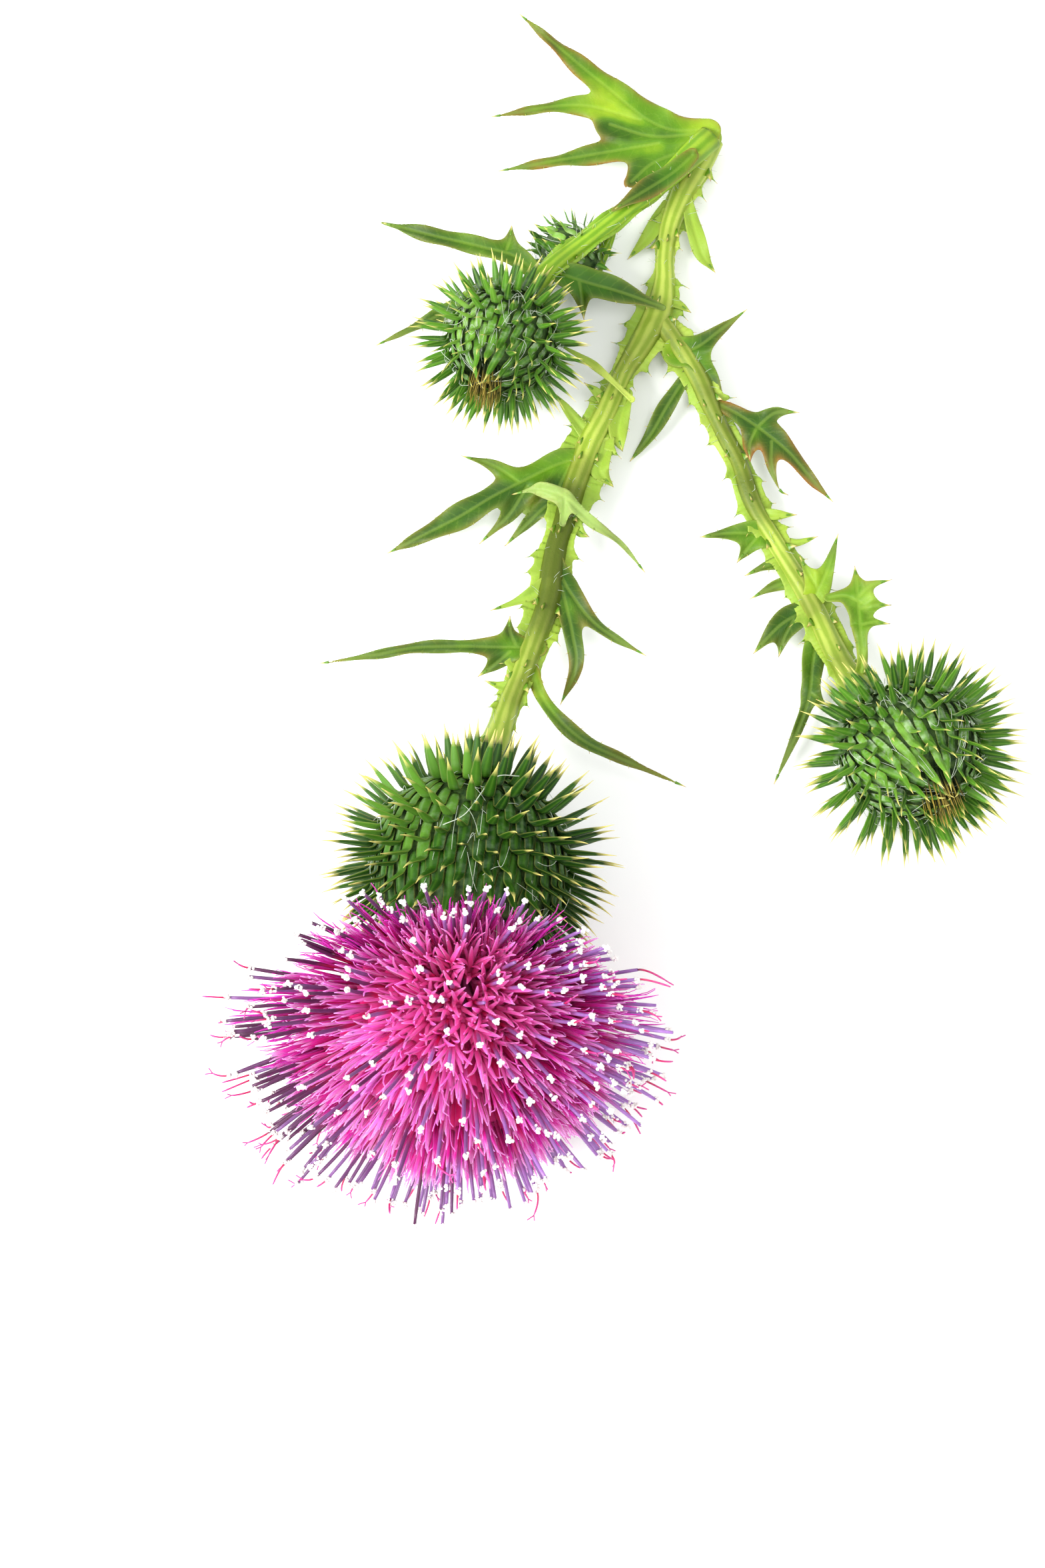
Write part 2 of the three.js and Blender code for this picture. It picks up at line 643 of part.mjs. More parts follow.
const sprig = new THREE.Group();
sprig.name = "thistle_sprig";
sprig.position.set(-FOOTPRINT_CENTRE[0], -FOOTPRINT_CENTRE[1], 0);
const placed = [];

const boxesMeet = (a, b) => {
  const one = a.boundingBox();
  const two = b.boundingBox();
  return [0, 1, 2].every((k) => one.min[k] < two.max[k] && two.min[k] < one.max[k]);
};

// Adds a piece. make(margin) gives its solid, grown by a margin. The piece keeps clear of
// every piece that was added before it, apart from those that its own shape already clears.
function addPiece(name, make, colour, roughness, clears = () => false) {
  let solid = make(0);
  for (const other of placed)
    if (!clears(other.name) && boxesMeet(solid, other.grown)) solid = solid.subtract(other.grown);
  const bodies = solid.decompose();
  solid = bodies.reduce((best, body) => (body.volume() > best.volume() ? body : best));
  const material = new THREE.MeshStandardMaterial({ color: colour, roughness, metalness: 0 });
  const mesh = new THREE.Mesh(geometryOf(solid), material);
  mesh.name = name;
  sprig.add(mesh);
  placed.push({ name, grown: make(GAP) });
}

const stemWithWings = (name, margin) => {
  const wings = (WINGS[name] ?? []).map((wing) => bladeSolid(wing, margin));
  return join([stemSolid(STEMS[name], margin), ...wings]);
};

for (const [headName, head] of Object.entries(HEADS)) {
  const own = (name) => name.startsWith(headName);
  const coreName = headName === "flower" ? "flower_receptacle" : `${headName}_core`;
  addPiece(coreName, (margin) => coreSolid(head, margin), COLOURS.receptacle, ROUGHNESS.head);
  head.rows.forEach((_, i) => {
    const row = (margin) => bractRowSolid(head, i, margin);
    const clears = (name) => own(name) && !name.endsWith(`_${i}`);
    addPiece(`${headName}_bracts_${i + 1}`, row, COLOURS.bracts, ROUGHNESS.head, clears);
  });
  if (head.tip)
    addPiece(`${headName}_tip`, (margin) => budTipSolid(head, margin), COLOURS.budTip, ROUGHNESS.head);
}

const isTuft = (name) => name.startsWith("florets");
for (const group of TUFT.groups)
  addPiece(group.name, (margin) => floretsSolid(group, margin), group.colour, ROUGHNESS.florets, isTuft);

for (const [name, stem] of Object.entries(STEMS))
  addPiece(name, (margin) => stemWithWings(name, margin), stem.colour, ROUGHNESS.stem);

for (const [name, leaf] of Object.entries(LEAVES)) {
  const blade = (margin) => join(leaf.lobes.map((lobe) => bladeSolid(lobe, margin)));
  addPiece(name, blade, leaf.colour, ROUGHNESS.leaf);
}

export default sprig;
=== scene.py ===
"""A cut sprig of spear thistle that lies on a pale surface: one open magenta flower head,
two large buds and a small one, a forked winged stem, and its spiny leaves.

Shapes are worked out in millimetres, in the axes of the sprig's own tables below, and each
piece is moved to the frame and turned to metres when its mesh is made."""

import math
from functools import partial
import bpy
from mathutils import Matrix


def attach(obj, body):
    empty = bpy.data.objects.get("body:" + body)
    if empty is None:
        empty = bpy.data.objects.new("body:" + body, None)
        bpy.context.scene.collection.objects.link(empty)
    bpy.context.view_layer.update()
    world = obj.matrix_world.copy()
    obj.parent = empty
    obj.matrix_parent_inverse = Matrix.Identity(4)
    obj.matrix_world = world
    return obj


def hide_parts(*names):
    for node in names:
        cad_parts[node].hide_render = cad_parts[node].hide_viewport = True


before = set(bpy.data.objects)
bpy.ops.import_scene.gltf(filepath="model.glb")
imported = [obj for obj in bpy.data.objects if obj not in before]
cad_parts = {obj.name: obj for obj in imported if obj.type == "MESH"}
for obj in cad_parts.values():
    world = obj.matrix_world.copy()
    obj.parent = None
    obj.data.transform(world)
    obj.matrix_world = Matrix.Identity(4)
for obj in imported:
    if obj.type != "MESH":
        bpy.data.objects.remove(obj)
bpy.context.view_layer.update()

from types import SimpleNamespace

import bpy
import numpy as np
from mathutils import Vector

bl_info = {
    "name": "Thistle sprig",
    "version": (1, 0, 0),
    "blender": (4, 5, 0),
    "location": "View3D > Sidebar > Thistle",
    "description": "Builds a cut thistle sprig with a flower head, buds and leaves",
    "category": "Add Mesh",
}

MM = 0.001
FOOTPRINT_CENTRE = np.array([-1.1, -0.5, 0])  # the frame's origin, in the axes of the tables
UP = np.array([0.0, 0, 1])
GOLDEN_ANGLE = math.radians(137.50776)
FLOOR_CLEARANCE = 0.25  # the lowest that the middle of a hair, spine or floret goes

# ---- The photograph's view ----

IMAGE_HEIGHT = 2352
FOCAL_PIXELS = 5400
SENSOR_HEIGHT = 36
CAMERA_TILT = math.radians(15)  # away from straight down
CAMERA_DISTANCE = 460
CAMERA_TARGET = np.array([-14.6, -23.1, 0])  # the surface point in the middle of the picture

# ---- The four flower heads ----
# centre is the middle of the widest place and axis points out of the mouth. lengths and
# leans are a bract's spine from the stalk to the mouth: its length, and its angle in
# degrees from the head's own surface towards the mouth. fresh is painted light: the
# direction that the bracts painted lighter face, and how much lighter they are painted.

HEADS = {
    "flower": {
        "centre": (-21, -37.3, 16.6), "axis": (-0.102, -0.945, 0.311), "radius": 11.7,
        "base_radius": 3.2, "mouth_radius": 8.6, "half_length": 11.2, "cap": 0, "rows": 6,
        "lengths": (4.9, 6.2, 6.6, 6.3, 5.4, 4.2), "leans": (-18, -3, 8, 15, 24, 34),
        "spine_width": 0.62, "wool": 0.15, "fresh": (-0.5, 0.6, 0.62, 0.95),
        "strand": [(-15, -29.4, 27.2), (-17.8, -29.9, 28.6), (-21.6, -34.7, 29), (-24.1, -35.8, 28.6)],
    },
    "right_bud": {
        "centre": (33.6, -22, 12), "axis": (0.29, -0.648, 0.704), "radius": 8.6, "base_radius": 2.6,
        "mouth_radius": 4, "half_length": 8.2, "cap": 2, "rows": 4,
        "lengths": (4.2, 5.4, 6.2, 6.4, 5.6, 3.4), "leans": (-14, 0, 8, 14, 24, 46),
        "spine_width": 0.47, "wool": 0.75, "fresh": (-0.34, -0.3, 0.89, 0.6),
    },
    "left_bud": {
        "centre": (-17.2, 33.1, 11), "axis": (-0.245, -0.784, 0.57), "radius": 6.9, "base_radius": 2.3,
        "mouth_radius": 3.5, "half_length": 6.9, "cap": 1.7, "rows": 4,
        "lengths": (3.8, 4.7, 5.2, 5.5, 5, 3), "leans": (-14, 0, 8, 14, 26, 48), "spine_width": 0.42,
        "wool": 0.65, "fresh": (-0.5, 0, 0.87, 0.7),
    },
    "small_bud": {
        "centre": (-8.2, 48, 4.4), "axis": (-0.82, 0.35, 0.45), "radius": 3.8, "base_radius": 1.8,
        "mouth_radius": 2, "half_length": 3.9, "cap": 1.2, "rows": 2,
        "lengths": (2.4, 2.8, 3, 2.8, 2.2, 1.6), "leans": (-12, 2, 12, 22, 34, 50), "spine_width": 0.36,
        "wool": 0.6, "fresh": (-0.3, 0.3, 0.9, 0.9),
    },
}

# ---- The tuft of florets ----

TUFT_CENTRE = np.array([-22.1, -55.8, 24.1])  # the florets point away from here
TUFT_AXIS = (-0.03, -0.85, 0.52)
TUFT_SPREAD = math.radians(86)
TUFT_ROOT_RADIUS = 7.6
TUFT_LEAN = 0.06  # how much longer the florets of the left side are
CUPWARD = np.array([0, 0.966, 0.259])  # florets that lean this way, over the cup, are shorter and get painted shade
SUNWARD = np.array([0, -0.26, 0.966])  # those that point this way open widest, and get a redder tint with painted light
LIGHTEST = np.array([-0.49, -0.53, 0.69])  # and those that point this way are painted lightest
THROAT = 15.5  # how far from that centre a floret's tube opens into its lobes
LOBES = 5
LOBE_LENGTH = 6.1
ANTHER_START = 16.4
ANTHER_END = 25
STYLE_END = 27.7
TUBE_STATIONS = 10
POLLEN_GRAINS = 12

# ---- Stems ----
# Each has its material, the head that it carries, the seat that it has there (its radius, wing
# and shade), and rows from the older end to the younger one: a point, the radius of the ribbed
# core, the half-width of the spiny wings at its sides, and how much darker its rind is made there.

STEMS = {
    "main_stem": ("stem", "flower", (2.9, 1, 0.3), [
        (10.2, 65.4, 2.4, 2, 1.8, 0.1), (8.6, 61.6, 2.4, 1.9, 2, 0.1), (6.4, 56.7, 2.4, 1.5, 1.9, 0.05),
        (4.9, 52.5, 2.4, 1.35, 1.6, 0.1), (4.2, 48, 2.5, 1.25, 1.4, 0.05),
        (4.1, 44.8, 2.6, 1.35, 1.5, -0.1), (3.4, 40.7, 2.9, 1.8, 2.8, 0.25),
        (1.2, 36, 3.1, 1.7, 2.6, 0.35), (-1.3, 32, 3.4, 1.3, 1.5, 0.25),
        (-2.8, 28.5, 3.6, 1.4, 2.1, 0.2), (-4.2, 25, 3.9, 1.45, 2.3, 0.15),
        (-5.9, 21.5, 4.1, 1.6, 3.1, 0.1), (-7.4, 17, 4.5, 1.6, 3.5, 0.35),
        (-8.6, 13, 4.9, 1.5, 2.8, 0.8), (-9.4, 9.8, 5.3, 1.4, 2, 0.9), (-10.2, 7, 5.6, 1.4, 2.3, 0.9),
        (-10.8, 3.4, 6, 1.5, 2.5, 0.95), (-11.2, -0.4, 6.6, 1.6, 2.8, 0.85),
        (-12.3, -4.2, 7.2, 1.5, 2.5, 0.7), (-13.6, -7.8, 7.9, 1.4, 2.1, 0.4),
        (-14.9, -11.6, 8.7, 1.35, 1.9, 0.3), (-16.4, -15.5, 9.7, 1.4, 1.6, 0.3),
        (-17.6, -19.4, 10.9, 1.7, 1.6, 0.3),
    ]),
    "left_bud_stalk": ("young_stem", "left_bud", (2.2, 0.9, 0.3), [
        (10.2, 64.6, 4.4, 1.8, 0.6, 0.2), (7.8, 61.9, 5, 1.75, 0.8, 0.1),
        (4.5, 58.4, 5.4, 1.4, 1.3, 0.1), (-0.8, 53.3, 6.6, 1.2, 1.5, 0.1),
        (-6.2, 48.2, 8.4, 1.15, 1.6, 0.1), (-11.5, 43.6, 8.8, 1.3, 1.5, 0.2),
    ]),
    "small_bud_stalk": ("young_stem", "small_bud", (1.2, 0.6, 0.3), [
        (-2.6, 51.8, 6.6, 0.7, 0.6, 0.2), (-3.2, 49.8, 4.6, 0.65, 0.7, 0.2),
    ]),
    "right_branch": ("stem", "right_bud", (2.6, 0.9, 0.3), [
        (3.5, 39, 2.9, 1.4, 2, 0.3), (6.9, 33.8, 3, 1.35, 2.5, 0.35), (8.7, 30.4, 3, 1.3, 2.1, 0.5),
        (10.1, 26.8, 3, 1.2, 1.9, 0.5), (11.7, 23.3, 2.9, 1.15, 1.9, 0.55),
        (13.4, 19.7, 2.8, 1.1, 1.6, 0.5), (14.5, 16.2, 2.8, 1.2, 1.8, 0.75),
        (15.8, 12.7, 2.7, 1.15, 1.9, 0.6), (17.7, 9.1, 2.8, 1.15, 1.9, 0.2),
        (19.6, 5.6, 3, 1.2, 1.9, 0.15), (21.7, 1.9, 3.2, 1.3, 2.2, 0.15),
        (23.3, -1.8, 3.7, 1.4, 2.4, 0.3), (24.8, -5.6, 4.6, 1.5, 2.2, 0.3),
        (26.4, -9.4, 5.7, 1.6, 2, 0.4), (28.4, -13, 6.8, 1.9, 1.8, 0.4),
    ]),
}

# Leaf-like lobes that grow from a stem and are one piece with it.
WING_LOBES = {
    "main_stem": [
        [(7, 57.5, 2.6, 0.6), (8.3, 51.5, 2.8, 1.1), (9.3, 48.5, 2.4, 0.9), (11, 46.5, 1.5, 0)],
        [(4.5, 56, 2.6, 0.6), (2.2, 51.5, 2.4, 1), (-0.7, 48.5, 1.3, 0)],
        [(4, 42, 3.2, 1), (5.8, 41.2, 3.6, 0.7), (7.6, 40.2, 3.2, 0)],
        [(-1, 28.5, 3.6, 0.8), (-2.2, 23, 4.2, 1.2), (-1.6, 20.5, 4, 0)],
        [(-5.6, 22, 4.2, 1.2), (-7.9, 24.8, 4.8, 0.8), (-10.6, 28.2, 5.6, 0)],
        [(-3.4, 26.6, 4, 0.9), (-4.8, 28.4, 4.4, 0.6), (-6.6, 29.8, 4.8, 0)],
        [(-3.5, 21.5, 4.2, 0.8), (-4.6, 17.5, 4.7, 1.2), (-2.8, 15.5, 4.4, 0)],
        [(-8, 11, 5.2, 0.8), (-7.2, 9, 5.4, 0.6), (-6, 8.4, 5.2, 0)],
        [(-15.5, -13, 9, 0.9), (-17.4, -12.8, 9.2, 0.6), (-19.4, -12.1, 9.3, 0)],
    ],
    "right_branch": [
        [(16.2, 12.3, 2.8, 0.9), (18.3, 12, 3.4, 0.6), (21, 12, 3.6, 0)],
        [(18.3, 8.6, 2.8, 0.9), (20.8, 8.2, 3.4, 0.6), (23.6, 9, 3.8, 0)],
    ],
}

# ---- Leaves ----
# Each has its material, how far its margins have browned, its fold, its shade, how far its
# woolly underside shows above, and a few tapering lobes. A lobe starts at the stem or on the
# leaf's midrib, and its rows are points with half-widths.

LEAVES = {
    "top_leaf": ("leaf", 0.8, 0.1, -0.02, 0, [
        [(10.2, 65.2, 5.2, 1.4), (4, 65.6, 5.4, 2.2), (-4.3, 72.4, 5, 1.7), (-15.1, 83, 4, 0)],
        [(9.6, 64.8, 5.2, 1.2), (2.5, 64.4, 5.2, 2.8), (-3, 66.2, 5, 1.9)],
        [(1, 66.8, 5, 2.4), (-7, 68.9, 5.1, 1.3), (-18.9, 67.2, 5.4, 0)],
        [(3.4, 63.4, 5, 2.2), (-6.1, 61.9, 4.6, 1.3), (-17.9, 60.2, 3.6, 0)],
        [(7.6, 62.6, 5, 1.6), (2.6, 60.6, 5, 2.2), (-0.2, 58, 5, 1)],
    ]),
    "axil_leaf": ("dark_leaf", 0.5, 0.35, 0.06, 0, [
        [(7.8, 61, 6.6, 0.9), (5.4, 58.4, 7.2, 1.4), (1.6, 55.4, 8, 1.35), (-2.8, 52.2, 8.9, 0.2)],
    ]),
    "left_bud_leaf_inner": ("dark_leaf", 0.2, 0.35, 0.15, 0, [
        [(-11, 44, 8.2, 1), (-6.3, 42.4, 8, 2), (-1.9, 41.3, 7.4, 1.5), (3.8, 39.6, 6.2, 0.35)],
        [(-7.2, 42.4, 7.8, 1.2), (-6.8, 40, 7.4, 0.6), (-6.6, 37.6, 7, 0)],
    ]),
    "left_bud_leaf_upper": ("leaf", 0.2, 0.3, 0.1, 0, [
        [(-12.4, 43, 8.6, 0.9), (-15.6, 45.6, 9, 1.4), (-19.5, 46.8, 9, 1.25), (-26.3, 48.6, 8.8, 1.15),
         (-33, 51, 7.6, 0.15)],
        [(-16.7, 46.6, 8.8, 1), (-16.2, 48.2, 9.1, 0.5), (-16, 50, 9.3, 0)],
    ]),
    "left_bud_leaf_lower": ("leaf", 0.2, 0.3, 0.05, 0, [
        [(-13.2, 41.8, 7.6, 0.7), (-18.6, 43.4, 4.8, 0.9), (-25, 40.2, 3, 1), (-34, 36, 2, 0)],
    ]),
    "prickle_leaf": ("pale_leaf", 0, 0.3, -0.3, 0, [
        [(-0.4, 27, 5.8, 0.42), (-3.6, 29.9, 6.6, 0.4), (-6.3, 32.3, 6.2, 0.5), (-10.3, 35.2, 5.2, 0)],
    ]),
    "fork_leaf": ("leaf", 0.2, 0.3, 0.13, 0, [
        [(5.6, 34.4, 3.3, 1.9), (8.2, 35, 3.8, 1.6), (11, 37, 4.3, 0.75), (14.9, 40, 5, 0)],
        [(7.6, 34, 3.6, 1.6), (9.6, 31.4, 3.4, 1.2), (11.2, 28.6, 3.1, 0.4)],
    ]),
    "under_fork_leaf": ("dark_leaf", 0.1, 0.4, 0.3, 0, [
        [(7, 31.6, 3, 0.7), (4.2, 27.2, 2.4, 1.1), (2, 23.4, 1.8, 0.8), (-0.6, 20.2, 1, 0)],
    ]),
    "lobed_leaf": ("leaf", 0.9, 0.25, 0.38, 0, [
        [(10.8, 27.4, 3.2, 0.7), (13.5, 25.4, 4.4, 1), (16.6, 22.8, 5.2, 1.6), (19.8, 19.6, 6, 1.2),
         (22.8, 16, 5.5, 0.6), (25.6, 13.2, 4.8, 0)],
        [(15.8, 23.4, 5, 1.2), (18.2, 25.2, 5.6, 0.6), (21.4, 25.2, 6, 0)],
        [(15.6, 23, 5, 1), (14.8, 21, 4.9, 0.7), (14.9, 18.9, 4.8, 0)],
        [(17.6, 21.2, 5.5, 1.1), (17.6, 17.8, 5.6, 0.5), (18.8, 14.8, 4.8, 0), (19.8, 14.4, 4.4, 0)],
    ]),
    "branch_leaf": ("leaf", 0.1, 0.3, 0.08, 0, [
        [(16.8, 9.6, 2.7, 1.7), (12.4, 9.6, 3, 1), (8.3, 9.3, 2.6, 0)],
        [(15.8, 9.2, 2.8, 1.1), (14.4, 7.6, 2.5, 0.6), (13.1, 5.9, 2.2, 0)],
    ]),
    "branch_spur_upper": ("leaf", 0.1, 0.3, 0.1, 0, [
        [(19.2, 5.9, 2.8, 1), (16.6, 5.2, 2.6, 0.6), (14, 4.1, 2.2, 0)],
    ]),
    "branch_spur_lower": ("leaf", 0.1, 0.3, 0.1, 0, [
        [(20.6, 3.2, 2.9, 1), (17.8, 2.6, 2.4, 0.6), (14.7, 1.1, 1.8, 0)],
    ]),
    "shoulder_leaf": ("leaf", 0.1, 0.3, -0.05, 0, [
        [(22, -1, 3.2, 1.2), (23.4, 1.6, 4.6, 1.3), (24.6, 4.2, 5.2, 0.8), (26, 8.7, 6, 0)],
        [(23.2, 1.6, 4.6, 1), (22, 3.8, 4.8, 0.5), (21, 6, 4.8, 0)],
    ]),
    "tall_leaf": ("pale_leaf", 0.25, 0.2, 0.2, 0, [
        [(27.6, -12.4, 6.4, 0.7), (28.4, -9.4, 8.2, 0.7), (28.2, -5.2, 8.7, 0.7), (28, -1.2, 8.5, 0.9),
         (27.8, 3.6, 8, 0)],
        [(28.1, -0.8, 8.5, 0.9), (29.8, 0.7, 8.8, 0.4), (32.4, 1.4, 9, 0)],
        [(28.1, -2.4, 8.5, 0.7), (30, -2, 8.8, 0.35), (32.2, -2, 9, 0)],
        [(28.2, -4.6, 8.6, 0.7), (30, -4.3, 8.8, 0.35), (32, -4.5, 9, 0)],
        [(28.3, -1.6, 8.5, 1.2), (26.4, -0.6, 8.2, 0.9), (24.4, -0.6, 7.6, 0.6)],
    ]),
    "dark_leaf": ("dark_leaf", 0.1, 0.3, 0.42, 0, [
        [(22.6, -0.6, 3.2, 1.5), (18.8, -2.6, 3, 1.4), (15, -6.4, 2.2, 0)],
        [(20.2, -2.2, 3, 1.1), (19, -4.4, 2.6, 0.6), (18.3, -6.8, 2.2, 0)],
    ]),
    "hanging_leaf": ("leaf", 0.1, 0.3, 0.24, 0, [
        [(23.4, -3.2, 3.6, 1.3), (22.6, -7.6, 3.6, 1.5), (21.9, -12.8, 3.2, 0.8),
         (20.2, -17.4, 2.4, 0.6), (17.4, -23.6, 1.4, 0)],
        [(22.2, -12, 3.4, 0.6), (23.2, -12.8, 3.2, 0.3), (24.4, -13.6, 3, 0)],
    ]),
    "left_stem_leaf": ("leaf", 0.25, 0.15, 0.2, 0, [
        [(-5.8, 19.6, 4.5, 1.2), (-9.8, 18.4, 5, 1.7), (-13.6, 16.4, 5.4, 1.6), (-18.4, 13.8, 5.4, 1.5),
         (-23, 11.1, 4.8, 1.7), (-32.2, 7, 2.6, 0)],
        [(-15.2, 15.8, 5.4, 1.2), (-18.4, 17.8, 6, 0.7), (-22.6, 19.1, 6.4, 0)],
        [(-14, 15.2, 5.2, 1.3), (-16.4, 11.6, 4.4, 0.7), (-20.2, 8.2, 3, 0)],
        [(-8.6, 15, 4.8, 1.5), (-12, 12.4, 4.5, 0.9), (-16.9, 7.9, 3, 0)],
        [(-8.6, 18, 4.8, 1.6), (-9.6, 16, 4.8, 1.6), (-10.4, 13.6, 4.8, 1.2)],
    ]),
    "arching_leaf": ("pale_leaf", 0.5, 0.3, 0, 0.8, [
        [(-12.2, 13.5, 8.9, 0.4), (-9.1, 12.1, 9.4, 0.65), (-6.1, 9.5, 8.6, 0.65), (-2.1, 7, 7, 0.4),
         (1.2, 3.6, 5, 0)],
        [(-9.6, 12.5, 9.4, 0.6), (-12.6, 13.6, 8.8, 0.36), (-16, 13.4, 7.4, 0)],
        [(-9.2, 11.9, 9, 0.4), (-9.2, 11, 8.4, 0.34), (-9.5, 9.6, 6.8, 0.34)],
    ]),
    "forked_leaf": ("leaf", 0.45, 0.25, 0.3, 0, [
        [(-10.8, 5.4, 6, 1.1), (-8.6, 0.4, 7, 1.2), (-5.2, -4.2, 7.4, 0.8), (1.2, -8, 6.4, 0)],
        [(-9.6, 1, 6.9, 1.5), (-8.3, -5.2, 7.4, 1.15), (-7.8, -9.4, 6.8, 0.9), (-9.8, -13.8, 4, 0)],
    ]),
    "pale_leaf": ("pale_leaf", 0.1, 0.3, -0.05, 0, [
        [(-11, 1.6, 6.6, 1.3), (-14.6, -0.6, 7, 0.7), (-18.8, -2.2, 7.2, 0)],
    ]),
    "long_left_leaf": ("leaf", 0.6, 0.3, 0.26, 0, [
        [(-12.6, -7.4, 7.9, 1.2), (-17.6, -7.6, 8.8, 1.25), (-23, -7.6, 9.2, 0.85),
         (-28.2, -7.8, 9.2, 0.8), (-33.3, -8.6, 8.8, 0.5), (-40.4, -9.4, 7.8, 0)],
        [(-15.4, -7.4, 8.8, 0.9), (-16.2, -5.6, 9.3, 0.5), (-16.2, -3.6, 9.6, 0)],
        [(-16.2, -8.2, 8.8, 1.1), (-18.2, -9.8, 8.4, 0.6), (-20.3, -11.2, 8, 0)],
    ]),
    "low_right_leaf": ("leaf", 0.5, 0.4, 0.2, 0, [
        [(-13.4, -10, 8.3, 0.8), (-12.4, -13.8, 9.2, 0.8), (-9.9, -17.4, 9.4, 0.95),
         (-6.6, -20.2, 9.2, 0.95), (-2.5, -22, 8.6, 0.65), (6, -25.2, 6.4, 0)],
    ]),
}


TRACK_POINTS = 90  # stations along a lobe
BLADE_SPACING = 0.17  # size of a blade's faces
BLADE_MARGIN = 1.2  # how far past the lobes the grid of faces reaches
RUFFLE_LENGTH = 7.5  # from one wave of a margin to the next
BLADE_THICKNESS = 0.42
WING_THICKNESS = 0.36
TIP_SPINE = 1.5  # the hard end of a lobe


# ---- Shapes ----


def unit(vectors):
    """The same directions with length 1."""
    return vectors / np.maximum(np.linalg.norm(vectors, axis=-1, keepdims=True), 1e-9)


def between(first, second, angle):
    """Directions at an angle from the first ones towards the second ones."""
    return first * np.cos(angle)[..., None] + second * np.sin(angle)[..., None]


def sideways(directions):
    """A direction across each given one."""
    return unit(np.cross(directions, UP + 0.1))


def above(paths, low=FLOOR_CLEARANCE):
    """Raises what would reach below the surface."""
    paths[..., 2] = np.maximum(paths[..., 2], low)
    return paths


def strands(roots, directions, lengths, stations, bend=0.0, power=2):
    """Paths that leave the roots straight, and bend more and more towards their ends."""
    share = np.linspace(0, 1, stations)[:, None]
    steps = directions[:, None] * share + bend * share**power
    return above(roots[:, None] + steps * lengths[:, None, None])


def lengths_along(points):
    """How far each point of a line lies from its start."""
    steps = np.linalg.norm(np.diff(points[:, :3], axis=0), axis=1)
    return np.concatenate([[0], np.cumsum(steps)])


def rounded(points, count):
    """`count` evenly spread points on the smooth curve through the given ones. Columns past the
    third, such as a radius, are carried along."""
    points = np.array(points, float)
    chords = np.linalg.norm(np.diff(points[:, :3], axis=0), axis=1)
    knots = np.concatenate([[0], np.cumsum(np.sqrt(chords))])
    slopes = np.gradient(points, knots, axis=0)
    at = np.linspace(0, knots[-1], 6 * count)
    i = np.clip(np.searchsorted(knots, at, side="right") - 1, 0, len(knots) - 2)
    span = (knots[i + 1] - knots[i])[:, None]
    t = (at[:, None] - knots[i][:, None]) / span
    fine = (
        (2 * t**3 - 3 * t**2 + 1) * points[i] + (t**3 - 2 * t**2 + t) * span * slopes[i]
        + (3 * t**2 - 2 * t**3) * points[i + 1] + (t**3 - t**2) * span * slopes[i + 1]
    )
    along = lengths_along(fine)
    even = np.linspace(0, along[-1], count)
    return np.stack([np.interp(even, along, column) for column in fine.T], axis=1)


def ring(corners):
    """Corners of a round outline, as pairs of across and over."""
    turn = 2 * math.pi * np.arange(corners) / corners
    return np.stack([np.cos(turn), np.sin(turn)], axis=1)


